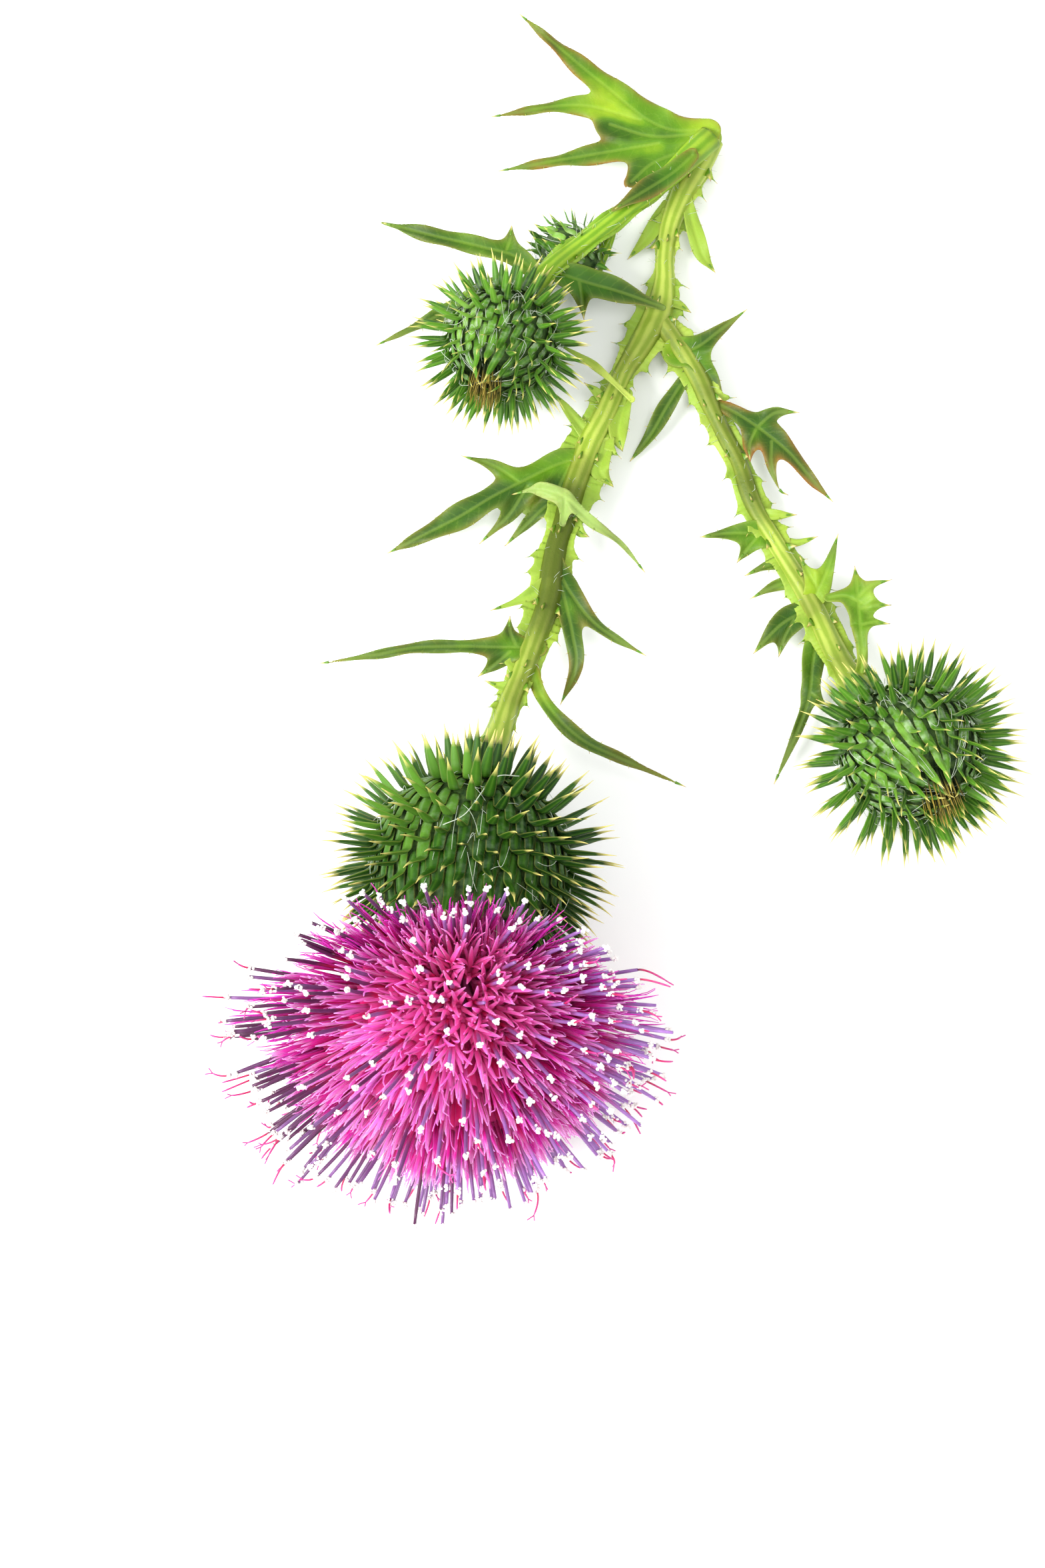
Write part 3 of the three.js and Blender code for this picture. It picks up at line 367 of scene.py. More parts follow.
class Skin:
    """The surface of one piece: points in millimetres, faces, and named values at the points."""

    def __init__(self):
        self.points = []
        self.faces = []
        self.values = []
        self.count = 0

    def add(self, points, faces, material=0, **values):
        """Adds points and the faces on them. Each value is spread over the points."""
        shape = points.shape[:-1]
        self.points.append(points.reshape(-1, 3))
        self.faces += [(corners + self.count, material) for corners in faces if len(corners)]
        self.values.append({name: np.broadcast_to(v, shape).ravel() for name, v in values.items()})
        self.count += len(self.points[-1])

    def add_rings(self, points, material=0, **values):
        """Adds closed bars from the rings of points (bars, stations, corners, 3) round them."""
        numbers = np.arange(points[..., 0].size).reshape(points.shape[:3])
        following = np.roll(numbers, -1, axis=2)
        walls = [numbers[:, :-1], numbers[:, 1:], following[:, 1:], following[:, :-1]]
        faces = [np.stack(walls, axis=-1).reshape(-1, 4), numbers[:, 0], numbers[:, -1, ::-1]]
        self.add(points, faces, material, **values)

    def sweep(self, paths, sizes, outline, facing, material=0, swell=1.0, **values):
        """Adds bars along paths (bars, stations, 3). sizes are half the width and half the
        height of the outline at each station, facing is where a bar's height points, and swell
        is how far out each corner stands."""
        bars, stations = paths.shape[:2]
        ahead = unit(np.gradient(paths, axis=1))
        over = np.empty_like(ahead)
        current = np.broadcast_to(facing, (bars, 3))
        for i in range(stations):
            current = unit(current - (current * ahead[:, i]).sum(-1, keepdims=True) * ahead[:, i])
            over[:, i] = current
        side = np.cross(ahead, over)
        reach = np.broadcast_to(sizes, (bars, stations, 2))[:, :, None] * outline
        reach = reach * np.asarray(swell)[..., None]
        points = paths[:, :, None] + side[:, :, None] * reach[..., :1] + over[:, :, None] * reach[..., 1:]
        self.add_rings(points, material, **values)

    def grains(self, centres, radii, material):
        """Adds small balls of twenty faces."""
        g = (1 + math.sqrt(5)) / 2
        ball = unit(np.array([
            (-1, g, 0), (1, g, 0), (-1, -g, 0), (1, -g, 0), (0, -1, g), (0, 1, g),
            (0, -1, -g), (0, 1, -g), (g, 0, -1), (g, 0, 1), (-g, 0, -1), (-g, 0, 1),
        ]))
        sides = np.array([
            (0, 11, 5), (0, 5, 1), (0, 1, 7), (0, 7, 10), (0, 10, 11), (1, 5, 9), (5, 11, 4),
            (11, 10, 2), (10, 7, 6), (7, 1, 8), (3, 9, 4), (3, 4, 2), (3, 2, 6), (3, 6, 8),
            (3, 8, 9), (4, 9, 5), (2, 4, 11), (6, 2, 10), (8, 6, 7), (9, 8, 1),
        ])
        points = centres[:, None] + ball * radii[:, None, None]
        starts = len(ball) * np.arange(len(centres))[:, None, None]
        self.add(points, [(sides + starts).reshape(-1, 3)], material)

    def piece(self, node, materials):
        """Makes the mesh, and lets it stand for its CAD node."""
        points = (np.concatenate(self.points) - FOOTPRINT_CENTRE) * MM
        corners = np.concatenate([faces.ravel() for faces, _ in self.faces])
        sizes = np.concatenate([np.full(len(faces), faces.shape[1]) for faces, _ in self.faces])
        looks = np.concatenate([np.full(len(faces), material) for faces, material in self.faces])
        mesh = bpy.data.meshes.new(node + "_grown")
        mesh.vertices.add(len(points))
        mesh.vertices.foreach_set("co", points.astype(np.float32).ravel())
        mesh.loops.add(len(corners))
        mesh.loops.foreach_set("vertex_index", corners.astype(np.int32))
        mesh.polygons.add(len(sizes))
        starts = np.concatenate([[0], np.cumsum(sizes)[:-1]])
        mesh.polygons.foreach_set("loop_start", starts.astype(np.int32))
        mesh.polygons.foreach_set("material_index", looks.astype(np.int32))
        mesh.polygons.foreach_set("use_smooth", np.ones(len(sizes), bool))
        for name in sorted({name for block in self.values for name in block}):
            parts = [b.get(name, np.zeros(len(p))) for b, p in zip(self.values, self.points)]
            store = mesh.attributes.new(name, "FLOAT", "POINT")
            store.data.foreach_set("value", np.concatenate(parts).astype(np.float32))
        mesh.update(calc_edges=True)
        mesh.validate()
        for material in materials:
            mesh.materials.append(material)
        grown = bpy.data.objects.new(node + "_grown", mesh)
        bpy.context.scene.collection.objects.link(grown)
        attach(grown, "root")
        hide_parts(node)


# ---- Leaf blades ----


class Blade:
    """A leaf blade seen from above: the smooth outline round its lobes and teeth, and how high
    it lies at each place."""

    def __init__(self, lobes, fold, wave, seed, tooth=0.0, pitch=3.2):
        rng = np.random.default_rng(seed)
        self.fold = fold
        self.wave = wave
        self.tracks = [rounded(lobe, TRACK_POINTS) for lobe in lobes]
        for line in self.tracks:
            line[:, 3] = np.maximum(line[:, 3], 0.04)
        self.phases = rng.uniform(0, 2 * math.pi, len(self.tracks))
        self.teeth = np.zeros((0, 3))
        self.tooth_roots, self.tooth_points = self.tooth_places(rng, tooth, pitch)
        if tooth:
            share = np.linspace(0, 1, 6)[:, None]
            middles = self.tooth_roots[:, None] * (1 - share) + self.tooth_points[:, None] * share
            halves = np.broadcast_to(0.5 * (1 - share) ** 0.8 + 0.03, (*middles.shape[:2], 1))
            self.teeth = np.concatenate([middles, halves], axis=2).reshape(-1, 3)

    def tooth_places(self, rng, tooth, pitch):
        """Roots and points of the teeth along both margins of every lobe."""
        roots, points = [], []
        for line in self.tracks:
            along = lengths_along(line)
            heading = unit(np.gradient(line[:, :2], axis=0))
            for side in (-1, 1):
                at = np.arange(rng.uniform(0.4, 1) * pitch, along[-1] - TIP_SPINE, pitch)
                at = at + rng.uniform(-0.3, 0.3, len(at)) * pitch
                i = np.clip(np.searchsorted(along, at), 0, len(line) - 1)
                i = i[line[i, 3] > 0.5]
                out = side * np.stack([-heading[i, 1], heading[i, 0]], axis=1)
                roots.append(line[i, :2] + out * (line[i, 3:4] - 0.35))
                lean = unit(out + heading[i] * rng.uniform(0.3, 0.8, (len(i), 1)))
                points.append(roots[-1] + lean * (0.35 + tooth * rng.uniform(0.3, 1.3, (len(i), 1))))
        roots, points = np.concatenate(roots), np.concatenate(points)
        free = self.inside(points) < 0.12
        return roots[free], points[free]

    def inside(self, spots):
        """How far inside the outline each spot lies, in millimetres; less than 0 is outside."""
        fillet, sharp = 1.6, 5.0
        total = np.zeros(len(spots))
        for line in self.tracks:
            away = np.linalg.norm(spots[:, None] - line[None, :, :2], axis=2)
            total += np.exp(fillet * np.clip((line[:, 3] - away).max(1), -8, 8))
        lobes = np.log(np.maximum(total, 1e-9)) / fillet
        if not len(self.teeth):
            return lobes
        best = np.full(len(spots), -9.0)
        near = np.abs(lobes) < 2.5
        away = np.linalg.norm(spots[near][:, None] - self.teeth[None, :, :2], axis=2)
        best[near] = (self.teeth[:, 2] - away).max(1)
        return np.log(np.exp(sharp * lobes) + np.exp(sharp * best)) / sharp

    def lie(self, spots):
        """Height of the blade at each spot, how far along its lobe it is in millimetres and as a
        share, and its distance from the nearest midrib."""
        sums = np.zeros((4, len(spots)))
        middle = np.full(len(spots), 99.0)
        for line, phase in zip(self.tracks, self.phases):
            lengths = lengths_along(line)
            away = np.linalg.norm(spots[:, None] - line[None, :, :2], axis=2)
            inside = (line[:, 3] - away).max(1)
            i = away.argmin(1)
            gap = away[np.arange(len(spots)), i]
            heading = np.gradient(line[:, :2], axis=0)[i]
            apart = spots - line[i, :2]
            side = np.sign(heading[:, 0] * apart[:, 1] - heading[:, 1] * apart[:, 0])
            across = np.clip(gap / np.maximum(line[i, 3], 0.5), 0, 1.3)
            ruffle = np.sin(2 * math.pi * lengths[i] / RUFFLE_LENGTH + phase + 1.7 * side)
            rise = self.fold * (np.sqrt(gap**2 + 0.06) - 0.24) + self.wave * across**2 * ruffle
            weight = np.exp(3 * np.clip(inside, -6, 6))
            parts = [np.ones(len(i)), line[i, 2] + rise, lengths[i], lengths[i] / lengths[-1]]
            sums += weight * np.array(parts)
            middle = np.minimum(middle, gap)
        return (*(sums[1:] / sums[0]), middle)

    def settle(self, spots):
        """Moves spots near the outline onto it."""
        step = 0.01
        for _ in range(4):
            slope = np.stack([
                self.inside(spots + shift) - self.inside(spots - shift) for shift in step * np.eye(2)
            ], axis=1) / (2 * step)
            steep = np.maximum((slope**2).sum(1, keepdims=True), 0.2)
            move = -self.inside(spots)[:, None] * slope / steep
            far = np.linalg.norm(move, axis=1, keepdims=True)
            spots = spots + move * np.minimum(1, 0.4 * BLADE_SPACING / np.maximum(far, 1e-9))
        return spots

    def grow(self, skin, thickness, blade=0, prickle=1, turned=0.0, **values):
        """Adds the blade, its marginal prickles and the spine at each lobe's end. turned is how
        far the woolly underside shows above."""
        edges = np.concatenate([line[:, [0, 1, 3]] for line in self.tracks])
        low = (edges[:, :2] - edges[:, 2:]).min(0) - BLADE_MARGIN
        high = (edges[:, :2] + edges[:, 2:]).max(0) + BLADE_MARGIN
        columns, rows = np.ceil((high - low) / BLADE_SPACING).astype(int)
        grid = np.indices((columns, rows)).transpose(1, 2, 0)
        spots = (low + grid * BLADE_SPACING).reshape(-1, 2)
        level = self.inside(spots)
        within = level > -0.5 * BLADE_SPACING
        near = np.abs(level) < 0.5 * BLADE_SPACING
        spots[near] = self.settle(spots[near])
        number = np.arange(len(spots)).reshape(columns, rows)
        cells = np.stack([number[:-1, :-1], number[1:, :-1], number[1:, 1:], number[:-1, 1:]], axis=-1)
        cells = cells.reshape(-1, 4)
        kept = within[cells]
        quads = cells[kept.all(1)]
        partial_cells = cells[kept.sum(1) == 3]
        triangles = partial_cells[within[partial_cells]]
        used, order = np.unique(np.concatenate([quads.ravel(), triangles]), return_inverse=True)
        quads, triangles = order[: quads.size].reshape(-1, 4), order[quads.size :].reshape(-1, 3)
        spots = spots[used]
        under = len(spots)
        depth = np.maximum(self.inside(spots), 0)
        height, along, run, middle = self.lie(spots)
        half = 0.5 * thickness * (0.3 + 0.7 * (1 - np.exp(-depth / 0.25)))
        groove = 0.09 * np.exp(-((middle / 0.2) ** 2))
        rib = 0.3 * thickness * np.exp(-((middle / 0.3) ** 2)) * (1 - run)
        height = np.maximum(height, half + rib + 0.05)
        top = np.column_stack([spots, height + half - groove])
        bottom = np.column_stack([spots, height - half - rib])
        border = np.concatenate([
            np.stack([corners, np.roll(corners, -1, axis=0)], axis=-1).reshape(-1, 2)
            for corners in (quads.T, triangles.T)
        ])
        rim = border[~np.isin(border @ [under, 1], border @ [1, under])]
        walls = np.column_stack([rim[:, ::-1], rim + under])
        skin.add(
            np.concatenate([top, bottom]),
            [quads, quads[:, ::-1] + under, triangles, triangles[:, ::-1] + under, walls],
            blade,
            under=np.repeat([turned, 1.0], under),
            rim=np.tile(np.exp(-depth / 0.3), 2),
            mid=np.tile(middle, 2),
            arc=np.tile(along, 2),
            run=np.tile(run, 2),
            **values,
        )
        self.add_prickles(skin, prickle)

    def add_prickles(self, skin, prickle):
        """Straw-coloured needles on the teeth, and one at the end of each tapering lobe."""
        if len(self.tooth_points):
            lean = self.tooth_points - self.tooth_roots
            roots = self.tooth_points - 0.3 * unit(lean)
            lengths = 0.5 + 0.5 * np.linalg.norm(lean, axis=1)
            directions = unit(np.column_stack([unit(lean), np.full(len(lean), 0.12)]))
            roots = np.column_stack([roots, self.lie(roots)[0]])
            run = np.linspace(0, 1, 5)[:, None]
            skin.sweep(strands(roots, directions, lengths, len(run)), 0.07 * (1 - run) ** 0.8 + 0.012,
                       ring(6), sideways(directions), prickle, run=run)
        for line in self.tracks:
            if line[-1, 3] > 0.2:
                continue
            lengths = lengths_along(line)
            start = np.searchsorted(lengths, lengths[-1] - TIP_SPINE)
            run = np.linspace(0, 1, 8)[:, None]
            path = rounded(line[start:, :3], len(run))
            path[:3, 2] = self.lie(path[:3, :2])[0]
            skin.sweep(above(path)[None], 0.19 * (1 - run) ** 0.8 + 0.015, ring(6), UP, prickle, run=run)


# ---- Colours and materials ----

MIX_UNDER, MIX_OVER, MIX_RESULT = 6, 7, 2  # sockets of a node that mixes colours


def linear(code):
    """A colour written as sRGB hex, as the linear values that shaders use."""
    parts = [int(code[i : i + 2], 16) / 255 for i in (1, 3, 5)]
    return tuple(p / 12.92 if p <= 0.04045 else ((p + 0.055) / 1.055) ** 2.4 for p in parts)


def per_mm(size):
    """The texture scale that repeats about once in `size` millimetres."""
    return 1 / (size * MM)


def add_node(tree, kind, sockets=(), stops=(), out=0, **settings):
    """Adds a node with its settings and links, and returns its output that `out` numbers or
    names. sockets come in order or by the names of the inputs. Each is a value, the output of
    another node, or the name of a value that the mesh stores. stops are a ramp's positions
    and colours."""
    made = tree.nodes.new("ShaderNode" + kind)
    for name, value in settings.items():
        setattr(made, name, value)
    for name, value in sockets.items() if isinstance(sockets, dict) else enumerate(sockets):
        socket = made.inputs[name]
        if isinstance(value, str):
            value = add_node(tree, "Attribute", out="Fac", attribute_name=value)
        if isinstance(value, bpy.types.NodeSocket):
            tree.links.new(value, socket)
        else:
            socket.default_value = (*value, 1) if socket.type == "RGBA" else value
    if stops:
        elements = made.color_ramp.elements
        for _ in stops[2:]:
            elements.new(0.5)
        for element, (position, colour) in zip(elements, stops):
            element.position = position
            element.color = (*colour, 1)
    return made.outputs[out] if made.outputs else made


def new_material(name, tissue, *shades):
    """A material with one Principled shader. The function of its tissue gives the base colour,
    the layers over it as amounts and colours, its relief as a height, a strength and a depth
    in millimetres, and the shader's other sockets."""
    material = bpy.data.materials.new(name)
    material.use_nodes = True
    material.node_tree.nodes.clear()
    node = partial(add_node, material.node_tree)
    base, layers, relief, sockets = tissue(node, *shades)
    for amount, colour in layers:
        sides = {"Factor": amount, MIX_UNDER: base, MIX_OVER: colour}
        base = node("Mix", sides, out=MIX_RESULT, data_type="RGBA")
    if relief:
        height, strength, depth = relief
        bump = {"Height": height, "Strength": strength, "Distance": depth * MM}
        sockets = {**sockets, "Normal": node("Bump", bump)}
    node("OutputMaterial", (node("BsdfPrincipled", {"Base Color": base, **sockets}),))
    return material


def leaf_tissue(node, colours, dark, fresh, light):
    """Fresh leaf blade, grown: a waxy green skin with pale sunken veins, a woolly grey
    underside, and margins that brown where `rust` is set. It gives a soft satin sheen and
    lets a little light through."""
    place = node("TexCoord", out="Object")
    patches, blotches, cells = (
        node("TexNoise", {"Vector": place, "Scale": per_mm(size), "Detail": detail})
        for size, detail in ((7, 3), (6, 2), (0.3, 2))
    )
    older = node("Math", ("run", -0.42, patches), operation="MULTIPLY_ADD")
    toned = node("Math", (older, "shade"), operation="SUBTRACT")
    base = node("ValToRGB", (toned,), [(0.1, dark), (0.36, fresh), (0.66, light)])
    # Lines about 1.6 mm apart leave the midrib at a slant.
    slant = node("Math", ("mid", -0.8, "arc"), operation="MULTIPLY_ADD")
    wave = node("Math", (slant, 2 * math.pi / 1.6), operation="MULTIPLY")
    crest = node("Math", (wave,), operation="COSINE")
    side_veins = node("MapRange", (crest, 0.86, 1, 0, 0.07))
    midrib = node("MapRange", ("mid", 0.34, 0.1, 0, 0.2), interpolation_type="SMOOTHSTEP")
    veins = node("Math", (side_veins, midrib), operation="MAXIMUM")
    pale_rim = node("Math", ("rim", 0.35), operation="MULTIPLY")
    rusty = node("Math", ("rust", node("MapRange", (blotches, 0.42, 0.62))), operation="MULTIPLY")
    rusty_rim = node("Math", (rusty, "rim"), operation="MULTIPLY", use_clamp=True)
    woolly = node("Math", ("under", 0.55), operation="MULTIPLY")
    layers = [
        (veins, colours.vein), (pale_rim, colours.margin), (rusty_rim, colours.rust),
        (woolly, colours.underside),
    ]
    # Cells of the skin, about 0.3 mm, and the sunken veins.
    height = node("Math", (veins, -1.2, cells), operation="MULTIPLY_ADD")
    return base, layers, (height, 0.5, 0.08), {
        "Roughness": 0.5, "Specular IOR Level": 0.25, "Subsurface Weight": 0.22,
        "Subsurface Radius": (0.5, 1, 0.15), "Subsurface Scale": 0.6 * MM,
    }


def prickle_tissue(node, colours):
    """Hard prickle, grown: straw-coloured and smooth, green where it leaves the leaf. It
    catches small highlights."""
    noise = node("TexNoise", {"Vector": node("TexCoord", out="Object"), "Scale": per_mm(0.8)})
    base = node("ValToRGB", ("run",), [
        (0.35, colours.leaf_fresh), (0.75, colours.prickle), (1, colours.rust),
    ])
    value = node("MapRange", (noise, 0, 1, 0.8, 1.2))
    varied = node("HueSaturation", {"Color": base, "Value": value})
    return varied, (), (), {"Roughness": 0.38, "IOR": 1.5}


def stem_rind(node, colours, groove, ridge):
    """Young stem, grown: a ribbed juicy rind with darker grooves, pale ridges, brownish
    streaks and darker patches where a row's shade is set. The ribs catch long soft highlights."""
    place = node("TexCoord", out="Object")
    mottle, streak, fine = (
        node("TexNoise", {"Vector": place, "Scale": per_mm(size), "Detail": detail})
        for size, detail in ((2.2, 4), (7, 3), (0.35, 3))
    )
    shifted = node("Math", (mottle, 0.9, "rib"), operation="MULTIPLY_ADD")
    centred = node("Math", (shifted, 0.45), operation="SUBTRACT")
    base = node("ValToRGB", (centred,), [(0.15, groove), (0.85, ridge)])
    patches = node("Math", (streak, 0.8, "shade"), operation="MULTIPLY_ADD")
    layers = [
        (node("MapRange", (streak, 0.55, 0.75, 0, 0.3)), colours.stem_streak),
        (node("MapRange", (patches, 0.4, 1.25, 0, 0.95)), colours.stem_dusk),
        ("cut", colours.pith),
    ]
    return base, layers, (fine, 0.5, 0.1), {
        "Roughness": 0.48, "Specular IOR Level": 0.28, "Subsurface Weight": 0.15,
        "Subsurface Radius": (0.6, 1, 0.2), "Subsurface Scale": 0.6 * MM,
    }


def bract_tissue(node, colours, dark, green, keel):
    """Bract, grown: a leathery dark green scale with a paler keel and yellow margins, cobweb
    wool between its edges, and a hard straw-coloured needle. It shines a little."""
    place = node("TexCoord", out="Object")
    fluff, grain = (
        node("TexNoise", {"Vector": place, "Scale": per_mm(size), "Detail": detail})
        for size, detail in ((0.9, 4), (0.25, 2))
    )
    # tone is a random shade with painted light on top; the most lit bracts take the keel's colour.
    base = node("ValToRGB", ("tone",), [(0, dark), (0.5, green), (1, keel)])
    low = node("MapRange", ("run", 0.62, 0.38))
    edge = node("MapRange", ("rim", 0.3, 0.9, 0.55))
    woolly = node("MapRange", (fluff, 0.45, 0.66))
    for part in (low, edge, "wool"):
        woolly = node("Math", (woolly, part), operation="MULTIPLY", use_clamp=True)
    layers = [
        (node("MapRange", ("rim", 0.4, 0, 0, 0.45)), keel),
        (node("MapRange", ("rim", 0.8, 1, 0, 0.3)), colours.bract_margin),
        (node("MapRange", ("run", 0.78, 0.92)), colours.needle),
        (woolly, colours.wool),
    ]
    return base, layers, (grain, 0.4, 0.06), {
        "Roughness": 0.48, "Specular IOR Level": 0.24, "Subsurface Weight": 0.1,
        "Subsurface Radius": (0.5, 1, 0.2), "Subsurface Scale": 0.4 * MM,
    }


def hair_tissue(node, colour):
    """Cobweb hair, wool or pollen, grown: matt pale fibres or grains that scatter light."""
    noise = node("TexNoise", {"Vector": node("TexCoord", out="Object"), "Scale": per_mm(0.6)})
    base = node("ValToRGB", (noise,), [(0.2, [0.65 * c for c in colour]), (0.7, colour)])
    return base, (), (), {"Roughness": 0.85, "Sheen Weight": 0.4, "Sheen Roughness": 0.5}


def corolla_tissue(node, colours):
    """Corolla, grown: thin moist petal tissue, pale in the tube, magenta in the lobes and
    violet at their hooked ends, redder in the tuft's middle. Its lobes get painted light where
    they point towards LIGHTEST or SUNWARD, a redder tint in the middle, and painted shade at
    the tuft's left edge and over the cup. It glows where light passes."""
    place = node("TexCoord", out="Object")
    bright = node("ValToRGB", ("run",), [
        (0, colours.corolla_tube), (0.45, colours.corolla_throat), (0.8, colours.corolla_bright),
        (0.97, colours.corolla_tip),
    ])
    base = node("ValToRGB", ("run",), [
        (0, colours.corolla_throat), (0.5, colours.corolla_deep), (0.82, colours.corolla_deep),
        (1, colours.corolla_tip),
    ])
    streak, fine = (
        node("TexNoise", {"Vector": place, "Scale": per_mm(size)}) for size in (1.5, 0.2)
    )
    spread = node("Math", (streak, 0.5, "tone"), operation="MULTIPLY_ADD")
    # Painted light lifts the lobes towards the bright ramp. Painted shade and withering take them towards
    # dark crimson, and the middle gets a redder tint with painted light.
    layers = [
        (node("Math", (spread, 0.25), operation="SUBTRACT", use_clamp=True), bright),
        (node("Math", ("tone", -1), operation="MULTIPLY", use_clamp=True), colours.corolla_withered_and_shade),
        (node("Math", ("blush", 0.75), operation="MULTIPLY"), colours.corolla_heart),
    ]
    return base, layers, (fine, 0.3, 0.04), {
        "Roughness": 0.45, "Specular IOR Level": 0.2, "Subsurface Weight": 0.85,
        "Subsurface Radius": (1, 0.4, 0.8), "Subsurface Scale": 2.4 * MM,
        "Sheen Weight": 0.15, "Sheen Roughness": 0.4, "Sheen Tint": linear("#FF70D0"),
    }


def anther_tissue(node, colours):
    """Anther tube, grown: five joined ribs, crimson where it leaves the corolla, dark purple
    on the tuft's -X side and lavender on its +X side, with a waxy shine."""
    noise = node("TexNoise", {"Vector": node("TexCoord", out="Object"), "Scale": per_mm(0.7)})
    value = node("MapRange", (noise, 0, 1, 0.75, 1.25))
    old, young = (
        node("HueSaturation", {"Color": node("ValToRGB", ("run",), stops), "Value": value})
        for stops in (
            [(0.2, colours.style), (0.5, colours.anther_dark)],
            [(0.25, colours.corolla_deep), (0.7, colours.anther_light)],
        )
    )
    return old, [("tone", young)], (), {"Roughness": 0.32, "IOR": 1.45}


def style_tissue(node, colours):
    """Style, grown: a smooth crimson thread, paler at its forked end."""
    base = node("ValToRGB", ("run",), [
        (0, colours.anther_dark), (0.3, colours.style), (1, colours.style_tip),
    ])
    return base, (), (), {"Roughness": 0.4, "IOR": 1.42}


def straw_tissue(node, colours):
    """Closed bract tips of a bud, grown: dry straw bristles, brown at the base."""
    base = node("ValToRGB", ("run",), [
        (0, colours.bract_dark), (0.4, colours.bristle_brown), (0.95, colours.bristle),
    ])
    value = node("MapRange", ("tone", 0, 1, 0.6, 1.25))
    varied = node("HueSaturation", {"Color": base, "Value": value})
    return varied, (), (), {"Roughness": 0.6}


def receptacle_tissue(node, colours):
    """Receptacle, grown: pale green flesh with a fine felt."""
    place = node("TexCoord", out="Object")
    noise = node("TexNoise", {"Vector": place, "Scale": per_mm(0.8), "Detail": 4})
    base = node("ValToRGB", (noise,), [(0.3, colours.bract_dark), (0.7, colours.receptacle)])
    return base, (), (noise, 0.6, 0.2), {"Roughness": 0.75}


def board_paint(node):
    """Board with matt white paint, rolled: almost even, with a very faint mottle."""
    noise = node("TexNoise", {"Vector": node("TexCoord", out="Object"), "Scale": per_mm(60)})
    base = node("ValToRGB", (noise,), [(0.3, linear("#FCFCFC")), (0.7, linear("#FFFFFF"))])
    return base, (), (), {"Roughness": 0.9, "Specular IOR Level": 0.2}


# ---- Stems ----

STEM_CORNERS = 54
STEM_STEP = 0.4
RIBS = 8
TEETH_PITCH = 11
RIND, WING, PRICKLE, HAIR = range(4)  # the order of a stem's materials


def axes_along(directions):
    """Unit vectors along the directions, across them and over them."""
    along = unit(np.array(directions))
    across = unit(np.cross(along, UP))
    return along, across, np.cross(across, along)


def stem_line(carries, seat, rows):
    """A stem's middle line to the base of the head that it carries, with the rows' sizes."""
    head = HEADS[carries]
    base = np.array(head["centre"]) - unit(np.array(head["axis"])) * (head["half_length"] - 0.2)
    rows = [*rows, (*base, *seat)]
    return rounded(rows, int(lengths_along(np.array(rows))[-1] / STEM_STEP))


def stem_core(skin, line, rng, cut):
    """Adds the ribbed core. At a cut end its flat face shows a rim and the pith inside it."""
    path, radius, shade = line[:, :3], line[:, 3], line[:, 5]
    at_cut = np.zeros(len(line))
    if cut:
        inward = np.array([0.9, 0.25, 0])[:, None] * (path[1] - path[0])
        path = np.concatenate([path[0] + inward, path])
        radius = np.concatenate([radius[0] * np.array([0.1, 0.74, 0.82]), radius])
        shade = np.concatenate([np.zeros(3), shade])
        at_cut = np.concatenate([[1, 1, 0.6], at_cut])
    along = lengths_along(path)[:, None]
    turn = 2 * math.pi * np.arange(STEM_CORNERS) / STEM_CORNERS
    rib = 0.5 + 0.5 * np.cos(RIBS * (turn + 0.25 * np.sin(along / 9)))
    lumps = sum(
        0.02 * np.sin(k * turn + along / rng.uniform(1.2, 3) + rng.uniform(0, 6)) for k in (1, 2, 3)
    )
    skin.sweep(path[None], radius[:, None], ring(STEM_CORNERS), UP, RIND, 1 + 0.03 * (rib - 0.5) + lumps,
               rib=rib, shade=shade[:, None], cut=at_cut[:, None])


def stem_teeth(skin, line, rng):
    """Adds rows of small winged teeth on the ribs that the side wings leave free."""
    along = lengths_along(line)
    ahead, across, over = axes_along(np.gradient(line[:, :3], axis=0))
    run = np.linspace(0, 1, 6)[:, None]
    sizes = np.column_stack([0.75 * (1 - run) ** 1.6 + 0.03, 0.13 * (1 - run) ** 0.7 + 0.02])
    for turn in (0.22, 0.5, 0.78, 1.4):
        at = np.arange(rng.uniform(1, 6), along[-1] - 4, TEETH_PITCH)
        at = at + rng.uniform(-2.5, 2.5, len(at))
        i = np.clip(np.searchsorted(along, at), 0, len(line) - 1)
        out = between(across[i], over[i], math.pi * turn + rng.uniform(-0.25, 0.25, len(i)))
        lengths = rng.uniform(0.7, 1.5, len(i))
        lean = ahead[i] * rng.uniform(0.3, 0.9, (len(i), 1))
        roots = line[i, :3] + out * (line[i, 3:4] * 0.9)
        paths = strands(roots, out, lengths, len(run), lean[:, None], power=1.5)
        skin.sweep(paths, sizes, ring(8), np.cross(out, ahead[i]), PRICKLE, run=run)


def hairs(skin, roots, directions, lengths, material, rng, radius=0.022):
    """Adds fine bent hairs."""
    bend = unit(rng.normal(size=roots.shape)) * rng.uniform(0.1, 0.5, (len(roots), 1))
    sizes = radius * np.array([1, 1, 1, 1, 1, 0.4])[:, None]
    paths = strands(roots, directions, lengths, len(sizes), bend[:, None])
    skin.sweep(paths, sizes, ring(3), sideways(directions), material)


def stem_hairs(skin, line, rng, count):
    """Adds loose cobweb hairs along a stem."""
    i = rng.integers(4, len(line) - 8, count)
    ahead = unit(np.gradient(line[:, :3], axis=0))[i]
    out = unit(np.cross(ahead, rng.normal(size=(count, 3))))
    roots = line[i, :3] + out * line[i, 3:4] * 0.95
    directions = unit(out + ahead * rng.uniform(-0.8, 0.8, (count, 1)))
    hairs(skin, roots, directions, rng.uniform(0.6, 1.6, count), HAIR, rng)


